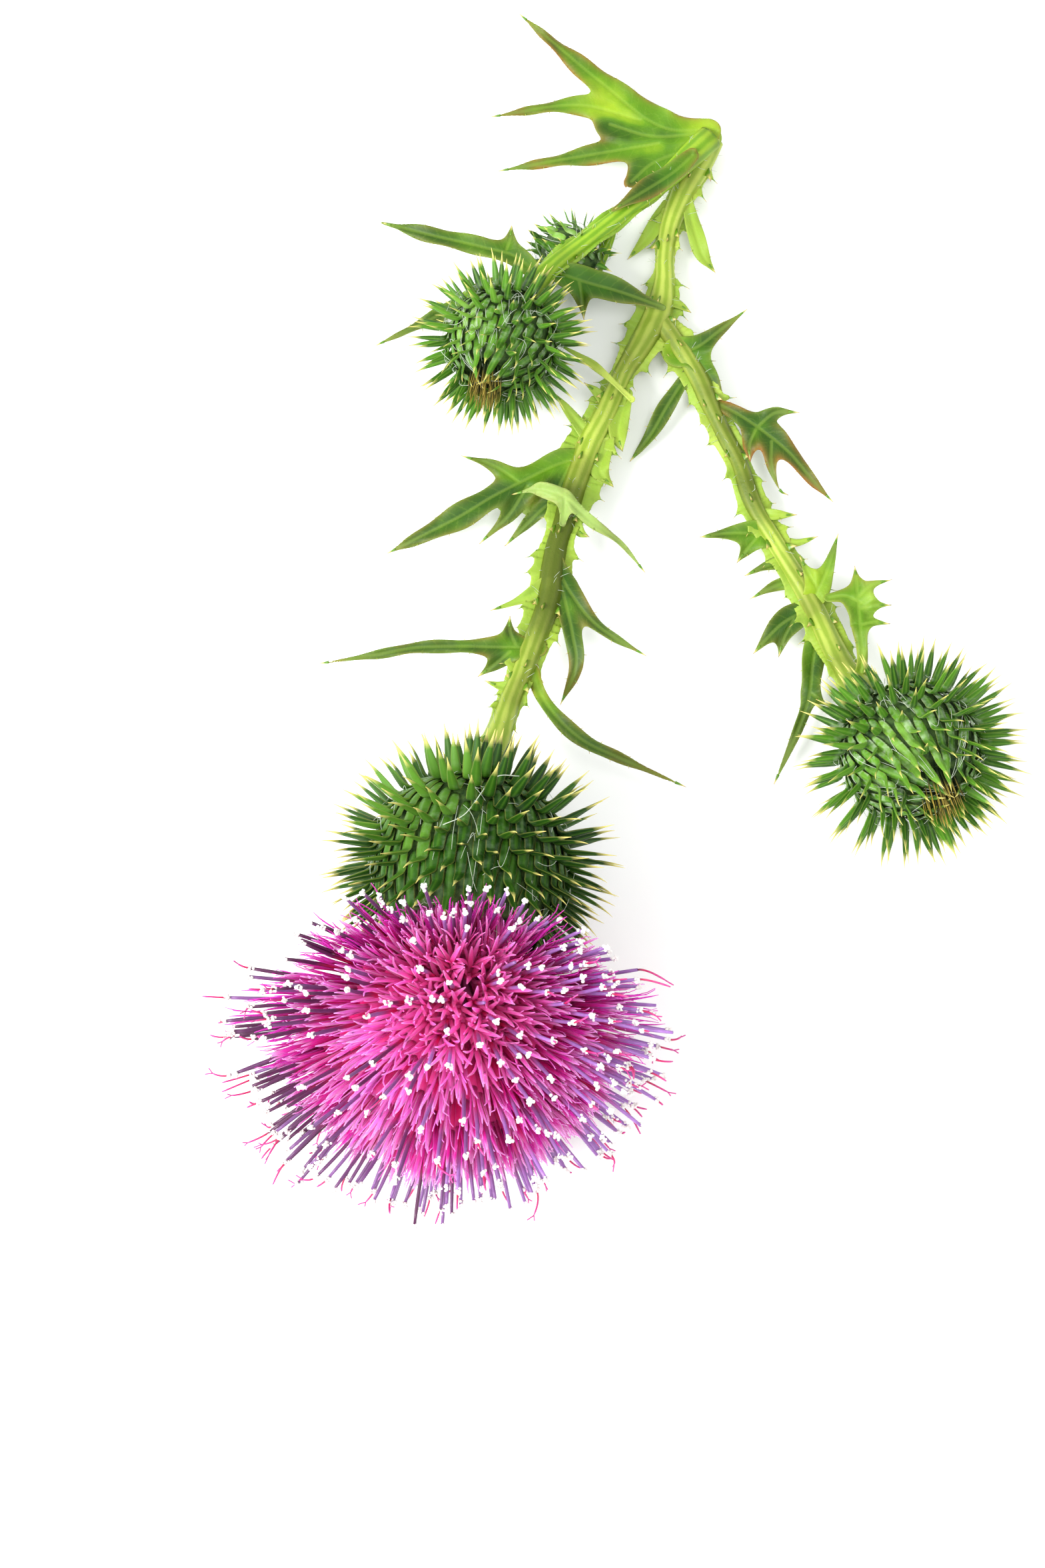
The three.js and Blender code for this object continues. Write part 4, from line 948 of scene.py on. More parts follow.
def grow_stem(name, seed, materials):
    """Makes one stem with its ribs, wings, teeth and hairs."""
    slot, carries, seat, rows = STEMS[name]
    spiny = slot == "stem"
    rng = np.random.default_rng(seed)
    line = stem_line(carries, seat, rows)
    skin = Skin()
    stem_core(skin, line, rng, cut=name == "main_stem")
    side_wings = [line[::10, [0, 1, 2, 4]]]
    blades = [Blade(side_wings, fold=0.05, wave=0.45, seed=seed, tooth=0.9 * spiny, pitch=4.2)]
    for i, lobe in enumerate(WING_LOBES.get(name, []), 1):
        blades.append(Blade([lobe], fold=0.3, wave=0.3, seed=seed + i))
    for blade in blades:
        blade.grow(skin, WING_THICKNESS, WING, PRICKLE)
    if spiny:
        stem_teeth(skin, line, rng)
    stem_hairs(skin, line, rng, int(2.2 * lengths_along(line)[-1]))
    skin.piece(name, materials)


# ---- Flower heads ----

SCALE, WOOL = range(2)  # the order of the materials of a row of bracts
COBWEB_RADIUS = 0.034
STRAND_RADIUS = 0.06  # a loose dry fibre that lies across the cup
CORE_INSET = 0.55  # how far the body of a head lies under its surface
CORE_CORNERS = 64
BRISTLES = 80
BRISTLE_LEAN = np.array([0.05, -0.75, -0.35])  # a bud's bristles bend over towards -Y
BRACT_OUTLINE = np.array([
    (1, -0.05), (0.8, 0.32), (0.45, 0.62), (0.14, 0.95), (-0.14, 0.95), (-0.45, 0.62),
    (-0.8, 0.32), (-1, -0.05), (-0.6, -0.5), (0, -0.62), (0.6, -0.5),
])


class Head:
    """A head's body: a round shape about its axis, closed at the mouth on a bud."""

    def __init__(self, name):
        self.name = name
        self.facts = HEADS[name]
        self.centre = np.array(self.facts["centre"])
        self.along, self.across, self.over = axes_along(self.facts["axis"])
        self.low = -self.facts["half_length"]
        self.high = self.facts["cap"] - self.low
        self.places = np.linspace(self.low, self.high, 400)
        self.radii = self.radius(self.places)
        self.slopes = np.gradient(self.radii, self.places)
        rings = self.radii * np.sqrt(1 + self.slopes**2)
        self.cover = np.concatenate([[0], np.cumsum(0.5 * (rings[1:] + rings[:-1]))])
        self.cover /= self.cover[-1]

    def radius(self, places):
        """Radius of the body at distances along the axis from its widest place."""
        half, mouth, cap = (self.facts[name] for name in ("half_length", "mouth_radius", "cap"))
        end = np.where(places < 0, self.facts["base_radius"], mouth)
        share = np.clip(np.abs(places) / half, 0, 1)
        body = end + (self.facts["radius"] - end) * (1 - share**2.3)
        if not cap:
            return body
        past = np.clip((places - half) / cap, 0, 1)
        return np.where(places > half, mouth * np.sqrt(1 - past**2) + 0.02, body)

    def outwards(self, turn):
        """Unit vectors away from the axis."""
        return between(self.across, self.over, turn)

    def surface(self, places, turn):
        """Points of the body, and the directions out of it and along it towards the mouth."""
        out = self.outwards(turn)
        radius = np.interp(places, self.places, self.radii)[..., None]
        slope = np.interp(places, self.places, self.slopes)[..., None]
        points = self.centre + self.along * places[..., None] + out * radius
        return points, unit(out - slope * self.along), unit(self.along + slope * out)


def bracts(head, count, seed):
    """Works out every bract of a head: its path, sizes, facing, row and looks."""
    facts = head.facts
    rng = np.random.default_rng(seed)
    number = np.arange(count)
    places = np.interp((number + 0.5) / count, head.cover, head.places)
    turn = number * GOLDEN_ANGLE + rng.normal(0, 0.03, count)
    level = np.linspace(0, 1, len(facts["lengths"]))
    where = (places - head.low) / (head.high - head.low)
    length = np.interp(where, level, facts["lengths"]) * rng.uniform(0.88, 1.12, count)
    lean = np.radians(np.interp(where, level, facts["leans"]) + rng.normal(0, 4, count))
    _, normal, toward = head.surface(places, turn)

    # The lower part lies along the body, under the bracts before it.
    scale = facts["radius"] / 11
    steps = places[:, None] + scale * np.linspace(-3.4, -0.35, 6)
    base, base_normal, _ = head.surface(np.clip(steps, head.low - 0.5, head.high), turn[:, None])
    base = base + base_normal * scale * np.linspace(-0.45, 0.28, 6)[:, None]

    # The spine turns out of the body, and its needle bends a little towards the mouth.
    v = np.linspace(0, 1, 13)
    settle = np.clip(v / 0.25, 0, 1) ** 0.6
    hook = np.radians(rng.uniform(-4, 20, (count, 1))) * np.clip((v - 0.5) / 0.5, 0, 1) ** 1.5
    angle = 0.45 * math.pi * (1 - settle) + lean[:, None] * settle + hook
    twist = rng.normal(0, 0.07, (count, 1, 1)) * v[:, None]
    step = between(normal[:, None], toward[:, None], angle) + np.cross(normal, toward)[:, None] * twist
    spine = base[:, -1:] + np.cumsum(step * (length[:, None] * np.gradient(v))[..., None], axis=1)
    paths = above(np.concatenate([base, spine], axis=1))

    widths = facts["spine_width"] * np.concatenate([
        [0.7, 1.05, 1.25, 1.32, 1.3, 1.22],
        np.interp(v, [0, 0.15, 0.35, 0.6, 0.76, 0.86, 1], [1.15, 1.12, 1.02, 0.66, 0.3, 0.15, 0.03]),
    ])
    heights = scale * np.concatenate([
        [0.16, 0.2, 0.23, 0.25, 0.27, 0.29],
        np.interp(v, [0, 0.2, 0.6, 0.76, 0.86, 1], [0.345, 0.33, 0.225, 0.135, 0.09, 0.021]),
    ])
    sizes = np.stack([widths, heights], axis=1) * rng.uniform(0.88, 1.12, (count, 1, 1))
    run = np.concatenate([np.linspace(0, 0.4, 6), 0.42 + 0.58 * v])
    row = ((places - head.low) / (2 * facts["half_length"]) * facts["rows"]).astype(int)
    wool = facts["wool"] * (0.4 + 0.8 * rng.random(count)) * (1.5 - where)
    # fresh paints light: bracts that face its direction are made lighter, on top of a random tone.
    *lightest, lift = facts["fresh"]
    facing_light = np.clip((normal @ unit(np.array(lightest)) - 0.7) / 0.3, 0, 1)
    tone = 0.5 * rng.random(count) + lift * facing_light
    return paths, sizes, base_normal[:, 0], np.minimum(row, facts["rows"] - 1), run, tone, wool


def cobweb(head, skin, count, seed, row):
    """Adds long loose hairs that lie along and across the bracts of one row of a head."""
    rng = np.random.default_rng(seed)
    span = (head.high - head.low) / head.facts["rows"]
    places = head.low + span * (row + rng.random((count, 1)))
    turn = rng.uniform(0, 2 * math.pi, (count, 1))
    share = np.linspace(0, 1, 9)
    arch = np.sin(math.pi * share)
    turn = turn + rng.normal(0, 1.8, (count, 1)) / head.facts["radius"] * share
    places = places + rng.normal(0, 3.2, (count, 1)) * share + rng.normal(0, 0.8, (count, 1)) * arch
    points, normal, _ = head.surface(np.clip(places, head.low, head.high), turn)
    lift = rng.uniform(0.5, 1.5, (count, 1)) * (0.6 + 0.4 * arch)
    skin.sweep(above(points + normal * lift[..., None]), COBWEB_RADIUS, ring(3), normal[:, 0], WOOL)


def grow_bracts(head, count, hair_count, seed, materials):
    """Makes the rows of bracts of one head."""
    paths, sizes, facing, row, run, tone, wool = bracts(head, count, seed)
    for i in range(head.facts["rows"]):
        skin = Skin()
        own = row == i
        skin.sweep(
            paths[own], sizes[own], BRACT_OUTLINE, facing[own], SCALE, run=run[:, None],
            rim=np.abs(BRACT_OUTLINE[:, 0]), tone=tone[own, None, None], wool=wool[own, None, None],
        )
        cobweb(head, skin, hair_count, seed + i, i)
        if i == 2 and "strand" in head.facts:
            skin.sweep(rounded(head.facts["strand"], 24)[None], STRAND_RADIUS, ring(4), UP, WOOL)
        skin.piece(f"{head.name}_bracts_{i + 1}", materials)


def grow_core(head, node, materials, pappus=0):
    """Makes the body that carries the bracts, with the pappus hairs round its florets."""
    skin = Skin()
    top = head.facts["half_length"] - 0.4
    places = np.linspace(head.low + 0.1, top, 40)
    radius = np.maximum(np.interp(places, head.places, head.radii) - CORE_INSET, 0.5)
    ends = np.array([0.02, 0.5])
    radius = np.concatenate([radius[0] * ends, radius, radius[-1] * ends[::-1]])
    path = head.centre + head.along * np.pad(places, len(ends), "edge")[:, None]
    out = head.outwards(2 * math.pi * np.arange(CORE_CORNERS) / CORE_CORNERS)
    skin.add_rings(above(path[:, None] + out * radius[:, None, None], 0.05)[None])
    if pappus:
        rng = np.random.default_rng(CUP_SEED)
        spread = head.facts["mouth_radius"] * 0.85 * np.sqrt(rng.random((pappus, 1)))
        out = head.outwards(rng.uniform(0, 2 * math.pi, pappus))
        roots = head.centre + head.along * (top - 0.2) + out * spread
        directions = unit(head.along + out * (0.05 * spread))
        hairs(skin, roots, directions, rng.uniform(4, 7, pappus), WOOL, rng, radius=0.03)
    skin.piece(node, materials)


def grow_bud_tip(head, seed, materials):
    """Makes the tuft of dry bristles that closes a bud, on a low dome of closed bract tips."""
    rng = np.random.default_rng(seed)
    half, mouth, cap = (head.facts[name] for name in ("half_length", "mouth_radius", "cap"))
    number = np.arange(BRISTLES)
    spread = 0.6 * mouth * np.sqrt((number[:, None] + 0.5) / BRISTLES)
    out = head.outwards(number * GOLDEN_ANGLE)
    dome = cap * np.sqrt(1 - (spread / mouth) ** 2)
    roots = head.centre + head.along * (half + dome - 0.5) + out * spread
    open_out = 0.16 * spread / spread[-1] + rng.normal(0, 0.04, (BRISTLES, 1))
    scatter = 0.05 * rng.normal(size=(BRISTLES, 3))
    directions = unit(head.along + BRISTLE_LEAN + out * open_out + scatter)
    run = np.linspace(0, 1, 7)[:, None]
    paths = strands(roots, directions, rng.uniform(2.6, 4.4, BRISTLES), len(run))
    sizes = np.interp(run, [0, 0.4, 1], [0.24, 0.13, 0.02]) * [1, 0.6]
    skin = Skin()
    skin.sweep(paths, sizes, ring(6), out, run=run, tone=rng.random((BRISTLES, 1, 1)))
    skin.piece(f"{head.name}_tip", materials)


# ---- Florets ----

COROLLA, ANTHER, STYLE, POLLEN = range(4)  # the order of the tuft's materials


def floret_facts(head, count, seed):
    """Where every floret grows: its tube's path, and the point and direction of its throat."""
    rng = np.random.default_rng(seed)
    number = np.arange(count)
    share = (number + 0.5) / count
    turn = number * GOLDEN_ANGLE + 0.3
    along, across, over = axes_along(TUFT_AXIS)
    spread = np.arccos(1 - (1 - math.cos(TUFT_SPREAD)) * share**0.88) + rng.normal(0, 0.03, count)
    swing = turn + rng.normal(0, 0.03, count) / np.maximum(np.sin(spread), 0.2)
    out = between(across, over, swing)
    heading = between(along, out, spread)
    mouth = head.centre + head.along * (head.facts["half_length"] - 0.6)
    roots = mouth + head.outwards(turn) * (TUFT_ROOT_RADIUS * np.sqrt(share))[:, None]
    longer = 1.03 - TUFT_LEAN * heading[:, 0] - 0.3 * np.maximum(heading @ CUPWARD + 0.1, 0)
    reach = (THROAT + rng.normal(0, 0.9, count)) * longer
    throat = TUFT_CENTRE + heading * reach[:, None]
    length = np.linalg.norm(throat - roots, axis=1)[:, None]
    first = roots + head.along * 0.42 * length
    second = throat - heading * 0.38 * length
    t = np.linspace(0, 1, TUBE_STATIONS)[:, None]
    tube = (
        (1 - t) ** 3 * roots[:, None] + 3 * (1 - t) ** 2 * t * first[:, None]
        + 3 * (1 - t) * t**2 * second[:, None] + t**3 * throat[:, None]
    )
    return {"tube": tube, "throat": throat, "heading": heading, "reach": reach, "longer": longer,
            "spread": spread, "out": out}


def picked(florets, own):
    """The facts of those florets that a mask or numbers pick out."""
    return SimpleNamespace(**{name: values[own] for name, values in florets.items()})


def lifted(paths):
    """Keeps paths above the surface, bending what would go below it along it."""
    low = FLOOR_CLEARANCE + 0.15
    depth = np.maximum(low + 2.5 - paths[..., 2], 0)
    paths[..., 2] += depth**2 / 10
    return above(paths, low)


def floret_tubes(skin, florets):
    """Adds the slender corolla tubes, which widen at the throat."""
    t = np.linspace(0, 1, TUBE_STATIONS)[:, None]
    radius = np.interp(t, [0, 0.6, 0.85, 1], [0.2, 0.26, 0.4, 0.5])
    skin.sweep(lifted(florets.tube), radius, ring(6), florets.out, COROLLA, run=0.42 * t,
               tone=florets.tone[:, None, None])


def floret_lobes(skin, florets, seed):
    """Adds each corolla's five long narrow lobes with their hooked ends."""
    rng = np.random.default_rng(seed)
    florets_here = len(florets.tone)
    number = np.repeat(np.arange(florets_here), LOBES)
    lobes = picked(vars(florets), number)
    count = len(number)
    first = unit(np.cross(lobes.heading, lobes.out))
    turn = (2 * math.pi * np.arange(count) / LOBES + rng.uniform(0, 6.3, florets_here)[number]
            + rng.normal(0, 0.25, count))
    out = between(first, np.cross(lobes.heading, first), turn)
    length = LOBE_LENGTH * rng.uniform(0.78, 1.12, count)
    t = np.linspace(0, 1, 9)[:, None]
    sunward = np.clip((lobes.heading @ SUNWARD - 0.8) / 0.2, 0, 1)
    flare = (rng.uniform(0.3, 0.9, count) + 1.3 * sunward)[:, None, None]
    hook = (rng.normal(0, 0.3, count) * (1 - 0.6 * sunward))[:, None, None]
    hook = hook * np.clip((t - 0.8) / 0.2, 0, 1) ** 2
    withered = (rng.random(florets_here)[number] < 0.4) & (lobes.spread > 1.15)
    sway = rng.normal(0, 0.13, (count, 1, 3)) * t**2 * (1 + 2.5 * withered)[:, None, None]
    length = (length * (1 + 0.25 * withered))[:, None, None]
    onward = lobes.heading[:, None] * (length * (t - 0.05 * np.abs(hook)))
    outward = out[:, None] * (0.36 + flare * t**1.7 + hook)
    width = np.interp(t, [0, 0.15, 0.6, 0.88, 1], [0.3, 0.27, 0.23, 0.15, 0.05])
    thick = np.interp(t, [0, 0.7, 1], [0.07, 0.06, 0.04])
    sizes = np.column_stack([width, thick]) * rng.uniform(0.85, 1.15, (count, 1, 1))
    sizes = sizes * (1 - 0.4 * withered + 0.4 * sunward)[:, None, None]
    sizes[..., 1] = np.maximum(sizes[..., 1], 0.05)
    shade = lobes.tone + rng.normal(0, 0.08, count) - withered
    # Lobes that point SUNWARD get a redder tint with painted light.
    skin.sweep(
        lifted(lobes.throat[:, None] + onward + outward + sway), sizes, ring(5), out, COROLLA,
        run=0.42 + 0.58 * t, tone=shade[:, None, None], blush=sunward[:, None, None],
    )


def floret_anthers(skin, florets, seed, old):
    """Adds the anther tubes with their pollen, and the forked styles of the older florets."""
    rng = np.random.default_rng(seed)
    count = len(old)
    end = (ANTHER_END + rng.normal(0, 0.9, count)) * florets.longer - florets.reach
    start = ANTHER_START * florets.longer - florets.reach
    bend = rng.normal(0, 0.035, (count, 1, 3))
    t = np.linspace(0, 1, 8)[:, None]
    distance = start[:, None, None] + (end - start)[:, None, None] * t
    paths = lifted(florets.throat[:, None] + florets.heading[:, None] * distance + bend * distance * t)
    radius = np.interp(t, [0, 0.8, 1], [0.2, 0.22, 0.18])
    ribbed = 1 + 0.1 * (-1) ** np.arange(2 * LOBES)
    # The tubes on the +X side are lavender, and those on the -X side dark purple.
    young = np.clip(0.5 + 0.6 * florets.heading[:, 0] + rng.normal(0, 0.22, count), 0, 1)
    skin.sweep(paths, radius, ring(2 * LOBES), florets.out, ANTHER, ribbed, run=t,
               tone=young[:, None, None])
    tips = paths[:, -1]
    ahead = unit(tips - paths[:, -2])
    scatter = rng.normal(0, 0.15, (count, POLLEN_GRAINS, 3))
    stretch = ahead[:, None] * rng.uniform(-0.2, 0.4, (count, POLLEN_GRAINS, 1))
    dusted = rng.random(count) < 0.97
    centres = above((tips[:, None] + scatter + stretch)[dusted].reshape(-1, 3))
    skin.grains(centres, rng.uniform(0.14, 0.25, len(centres)), POLLEN)
    floret_styles(skin, tips[old], ahead[old], rng)


def floret_styles(skin, tips, ahead, rng):
    """Adds crimson styles, of which some fork at the end."""
    count = len(tips)
    lengths = (STYLE_END - ANTHER_END) * rng.uniform(0.2, 1.15, count)
    t = np.linspace(0, 1, 9)[:, None]
    paths = strands(tips, ahead, lengths, len(t), rng.normal(0, 0.28, (count, 1, 3)))
    radius = np.interp(t, [0, 0.9, 1], [0.13, 0.12, 0.08])
    skin.sweep(paths, radius, ring(5), sideways(ahead), STYLE, run=t)
    forked = rng.random(count) < 0.45
    ends = paths[forked, -1]
    onward = unit(ends - paths[forked, -2])
    side = unit(np.cross(onward, rng.normal(size=onward.shape)))
    for sign in (-1, 1):
        lengths = rng.uniform(0.5, 1.1, len(ends))
        branches = strands(ends, unit(onward + sign * 0.6 * side), lengths, 5)
        skin.sweep(branches, 0.08, ring(5), side, STYLE, run=1)


def grow_florets(count, seed, materials):
    """Makes the tuft as three groups of florets, from its rim to its middle."""
    florets = floret_facts(Head("flower"), count, seed)
    rng = np.random.default_rng(seed + 1)
    heading = florets["heading"]
    # Painted light: florets that point towards LIGHTEST or SUNWARD get a higher tone, so lighter lobes.
    painted_centre_light = np.clip((heading @ SUNWARD - 0.75) / 0.25, 0, 1)
    tone = 1.3 * np.maximum(heading @ LIGHTEST, 0) ** 8 + 0.6 * painted_centre_light + rng.normal(0, 0.12, count)
    # Painted shade: the florets of the left edge and those over the cup are made darker.
    tone -= 0.65 * np.clip((-heading[:, 0] - 0.5) / 0.4, 0, 1) + 0.5 * np.clip(heading @ CUPWARD, 0, 1)
    florets["tone"] = tone
    degrees = np.degrees(florets["spread"])
    for i, (name, low, high, anther_share, old_share) in enumerate((
        ("florets_outer", 54, 180, 0.58, 0.6),
        ("florets_middle", 26, 54, 0.48, 0.2),
        ("florets_inner", -180, 26, 0.42, 0.2),
    )):
        skin = Skin()
        own = (degrees >= low) & (degrees < high)
        group = picked(florets, own)
        floret_tubes(skin, group)
        floret_lobes(skin, group, seed + 10 + i)
        own = own & (rng.random(count) < anther_share)
        old = (rng.random(own.sum()) < old_share) & ~(heading[own] @ CUPWARD > 0.2)
        floret_anthers(skin, picked(florets, own), seed + 20 + i, old)
        skin.piece(name, materials)


# ---- Add-on ----

STEM_SEED, LEAF_SEED, CUP_SEED, BUD_SEED, FLORET_SEED = 100, 300, 500, 600, 700
LEAF_WAVE = 0.35


def tint(name, description, code):
    """A colour that a user can change, with its default as sRGB hex."""
    return bpy.props.FloatVectorProperty(
        name=name, description=description, default=linear(code), subtype="COLOR", size=3, min=0, max=1)


def number_of(things, place, default):
    """A count that a user can change."""
    return bpy.props.IntProperty(
        name=f"{place} {things}", description=f"Number of {things} of the {place.lower()}", default=default,
        min=10)


class ThistleSizes(bpy.types.PropertyGroup):
    """Counts and sizes of the sprig."""

    florets: number_of("florets", "Open head", 600)
    flower_bracts: number_of("bracts", "Open head", 330)
    right_bud_bracts: number_of("bracts", "Right bud", 250)
    left_bud_bracts: number_of("bracts", "Left bud", 210)
    small_bud_bracts: number_of("bracts", "Small bud", 60)
    leaf_thickness: bpy.props.FloatProperty(
        name="Leaf thickness", description="Thickness of a leaf blade", default=BLADE_THICKNESS * MM,
        unit="LENGTH", precision=5)


class ThistleColours(bpy.types.PropertyGroup):
    """Colours of the sprig's tissues."""

    leaf_dark: tint("Leaf shade", "Darkest green of the leaves", "#264C02")
    leaf_fresh: tint("Leaf", "Main green of the leaves", "#54800A")
    leaf_light: tint("Leaf light", "Lightest green of the leaves", "#8AA81C")
    dark_leaf: tint("Dark leaf", "Main green of the shaded leaves", "#386804")
    pale_leaf: tint("Pale leaf", "Main green of the youngest leaves", "#88A838")
    vein: tint("Vein", "Midribs and side veins", "#9CB848")
    margin: tint("Margin", "Thin pale leaf edges", "#9CA64E")
    rust: tint("Rust", "Browned edges and tips", "#8A4A1E")
    underside: tint("Underside", "Woolly undersides", "#8CA068")
    prickle: tint("Prickle", "Hard prickles and lobe tips", "#D2C070")
    stem_groove: tint("Stem groove", "Between the ribs", "#8AA430")
    stem_ridge: tint("Stem ridge", "On the ribs", "#B0C052")
    stem_streak: tint("Stem streak", "Brownish streaks", "#7C7030")
    # The rind is made darker towards this colour where the stem rows set their shade.
    stem_dusk: tint("Stem dusk", "Where the rind has darkened", "#46540A")
    young_groove: tint("Young stem groove", "Between the ribs of the bud stalks", "#6C9A18")
    young_ridge: tint("Young stem ridge", "On the ribs of the bud stalks", "#92B42C")
    pith: tint("Pith", "Inside the cut end", "#DDE3B8")
    bract_dark: tint("Bract shade", "Darkest green of the flower's bracts", "#123608")
    bract_green: tint("Bract", "Main green of the flower's bracts", "#285408")
    bract_keel: tint("Bract keel", "Middle line of the flower's bracts", "#568428")
    bud_dark: tint("Bud shade", "Darkest green of the buds' bracts", "#264E0E")
    bud_green: tint("Bud", "Main green of the buds' bracts", "#4C801C")
    bud_keel: tint("Bud keel", "Middle line of the buds' bracts", "#7CAA40")
    bract_margin: tint("Bract margin", "Yellow edges of the spines", "#B9B85A")
    needle: tint("Needle", "Straw-coloured needles", "#DCCF78")
    wool: tint("Wool", "Cobweb wool", "#C8D4BE")
    bristle_brown: tint("Bristle base", "Where the buds' dry bristles start", "#2C3208")
    bristle: tint("Bristle", "Ends of the buds' dry bristles", "#A08A2C")
    receptacle: tint("Receptacle", "Flesh under the bracts", "#4E6C2C")
    corolla_tube: tint("Corolla tube", "Lower part of the florets", "#FF96D0")
    corolla_throat: tint("Corolla throat", "Where the florets open", "#FF5CAE")
    corolla_heart: tint("Corolla heart", "Lobes in the tuft's middle", "#FF4C8C")
    corolla_bright: tint("Corolla lobes", "Lightest lobes", "#FF6CEC")
    corolla_deep: tint("Corolla shade", "Darkest lobes", "#CC1468")
    # Withered lobes, and painted shade on the tuft's left edge and over the cup.
    corolla_withered_and_shade: tint("Old corolla", "Oldest and withered lobes", "#8C1048")
    corolla_tip: tint("Corolla tips", "Hooked violet ends", "#D45CBC")
    # Anther tubes are dark purple on the tuft's -X side and lavender on its +X side.
    anther_dark: tint("Anther", "Old anther tubes", "#522448")
    anther_light: tint("Young anther", "Young anther tubes", "#9C6CB4")
    style: tint("Style", "Styles", "#B81850")
    style_tip: tint("Style tip", "Forked ends of the styles", "#CC4492")
    pollen: tint("Pollen", "Pollen clumps", "#FBF7F2")


class THISTLE_OT_stage(bpy.types.Operator):
    """Lays out the pale surface, soft studio light and the camera"""

    bl_idname = "thistle.stage"
    bl_label = "Stage"

    def execute(self, context):
        scene = context.scene
        scene.view_settings.view_transform = "Standard"
        half, level = 1.5, -0.2 * MM
        mesh = bpy.data.meshes.new("board")
        corners = [(-half, -half, level), (half, -half, level), (half, half, level), (-half, half, level)]
        mesh.from_pydata(corners, [], [(0, 1, 2, 3)])
        mesh.materials.append(new_material("matt_white_board", board_paint))
        board = bpy.data.objects.new("board", mesh)
        scene.collection.objects.link(board)

        world = bpy.data.worlds.new("studio")
        world.use_nodes = True
        background = world.node_tree.nodes["Background"].inputs
        background["Color"].default_value = (*linear("#FDFEFF"), 1)
        background["Strength"].default_value = 1.05
        scene.world = world
        for name, place, size, watts in (
            ("key_softbox", (-0.62, -0.25, 0.62), 0.5, 11.5),
            ("fill_softbox", (0.12, -0.2, 0.9), 0.3, 2.2),
        ):
            light = bpy.data.lights.new(name, "AREA")
            light.shape = "DISK"
            light.size = size
            light.energy = watts
            lamp = bpy.data.objects.new(name, light)
            lamp.location = place
            lamp.rotation_euler = (-Vector(place)).to_track_quat("-Z", "Y").to_euler()
            scene.collection.objects.link(lamp)

        camera = bpy.data.cameras.new("camera")
        camera.sensor_fit = "VERTICAL"
        camera.sensor_height = SENSOR_HEIGHT
        camera.lens = SENSOR_HEIGHT * FOCAL_PIXELS / IMAGE_HEIGHT
        seen = bpy.data.objects.new("camera", camera)
        back = np.array([0, -math.sin(CAMERA_TILT), math.cos(CAMERA_TILT)])
        seen.location = (CAMERA_TARGET - FOOTPRINT_CENTRE + CAMERA_DISTANCE * back) * MM
        seen.rotation_euler = (CAMERA_TILT, 0, 0)
        scene.collection.objects.link(seen)
        scene.camera = seen
        return {"FINISHED"}


class THISTLE_OT_stems(bpy.types.Operator):
    """Grows the forked stem and the stalks of the buds"""

    bl_idname = "thistle.stems"
    bl_label = "Stems"

    def execute(self, context):
        colours = context.scene.thistle_colours
        prickle = new_material("hard_straw_prickle", prickle_tissue, colours)
        hair = new_material("cobweb_hair", hair_tissue, colours.wool)
        materials = {}
        for slot, age, groove, ridge in (
            ("stem", "old", colours.stem_groove, colours.stem_ridge),
            ("young_stem", "young", colours.young_groove, colours.young_ridge),
        ):
            rind = new_material("ribbed_rind_" + age, stem_rind, colours, groove, ridge)
            wing = new_material("stem_wing_" + age, leaf_tissue, colours, groove, colours.pale_leaf, ridge)
            materials[slot] = [rind, wing, prickle, hair]
        for i, name in enumerate(STEMS):
            grow_stem(name, STEM_SEED + 10 * i, materials[STEMS[name][0]])
        return {"FINISHED"}


class THISTLE_OT_leaves(bpy.types.Operator):
    """Grows the leaves"""

    bl_idname = "thistle.leaves"
    bl_label = "Leaves"

    def execute(self, context):
        colours = context.scene.thistle_colours
        prickle = new_material("hard_straw_prickle", prickle_tissue, colours)
        blades = {
            slot: new_material("waxy_" + slot, leaf_tissue, colours, *shades)
            for slot, *shades in (
                ("leaf", colours.leaf_dark, colours.leaf_fresh, colours.leaf_light),
                ("dark_leaf", colours.leaf_dark, colours.dark_leaf, colours.leaf_fresh),
                ("pale_leaf", colours.leaf_fresh, colours.pale_leaf, colours.stem_ridge),
            )
        }
        thickness = context.scene.thistle_sizes.leaf_thickness / MM
        for i, (name, (slot, rust, fold, shade, turned, lobes)) in enumerate(LEAVES.items()):
            skin = Skin()
            blade = Blade(lobes, fold, LEAF_WAVE, LEAF_SEED + i)
            blade.grow(skin, thickness, turned=turned, rust=rust, shade=shade)
            skin.piece(name, [blades[slot], prickle])
        return {"FINISHED"}


class THISTLE_OT_flower_cup(bpy.types.Operator):
    """Grows the open head's receptacle and its rows of bracts"""

    bl_idname = "thistle.flower_cup"
    bl_label = "Flower cup"

    def execute(self, context):
        colours = context.scene.thistle_colours
        head = Head("flower")
        wool = new_material("cobweb_wool", hair_tissue, colours.wool)
        flesh = new_material("felted_receptacle", receptacle_tissue, colours)
        scale = new_material("leathery_bract", bract_tissue, colours, colours.bract_dark,
                             colours.bract_green, colours.bract_keel)
        grow_core(head, "flower_receptacle", [flesh, wool], pappus=260)
        count = context.scene.thistle_sizes.flower_bracts
        grow_bracts(head, count, hair_count=16, seed=CUP_SEED + 10, materials=[scale, wool])
        return {"FINISHED"}


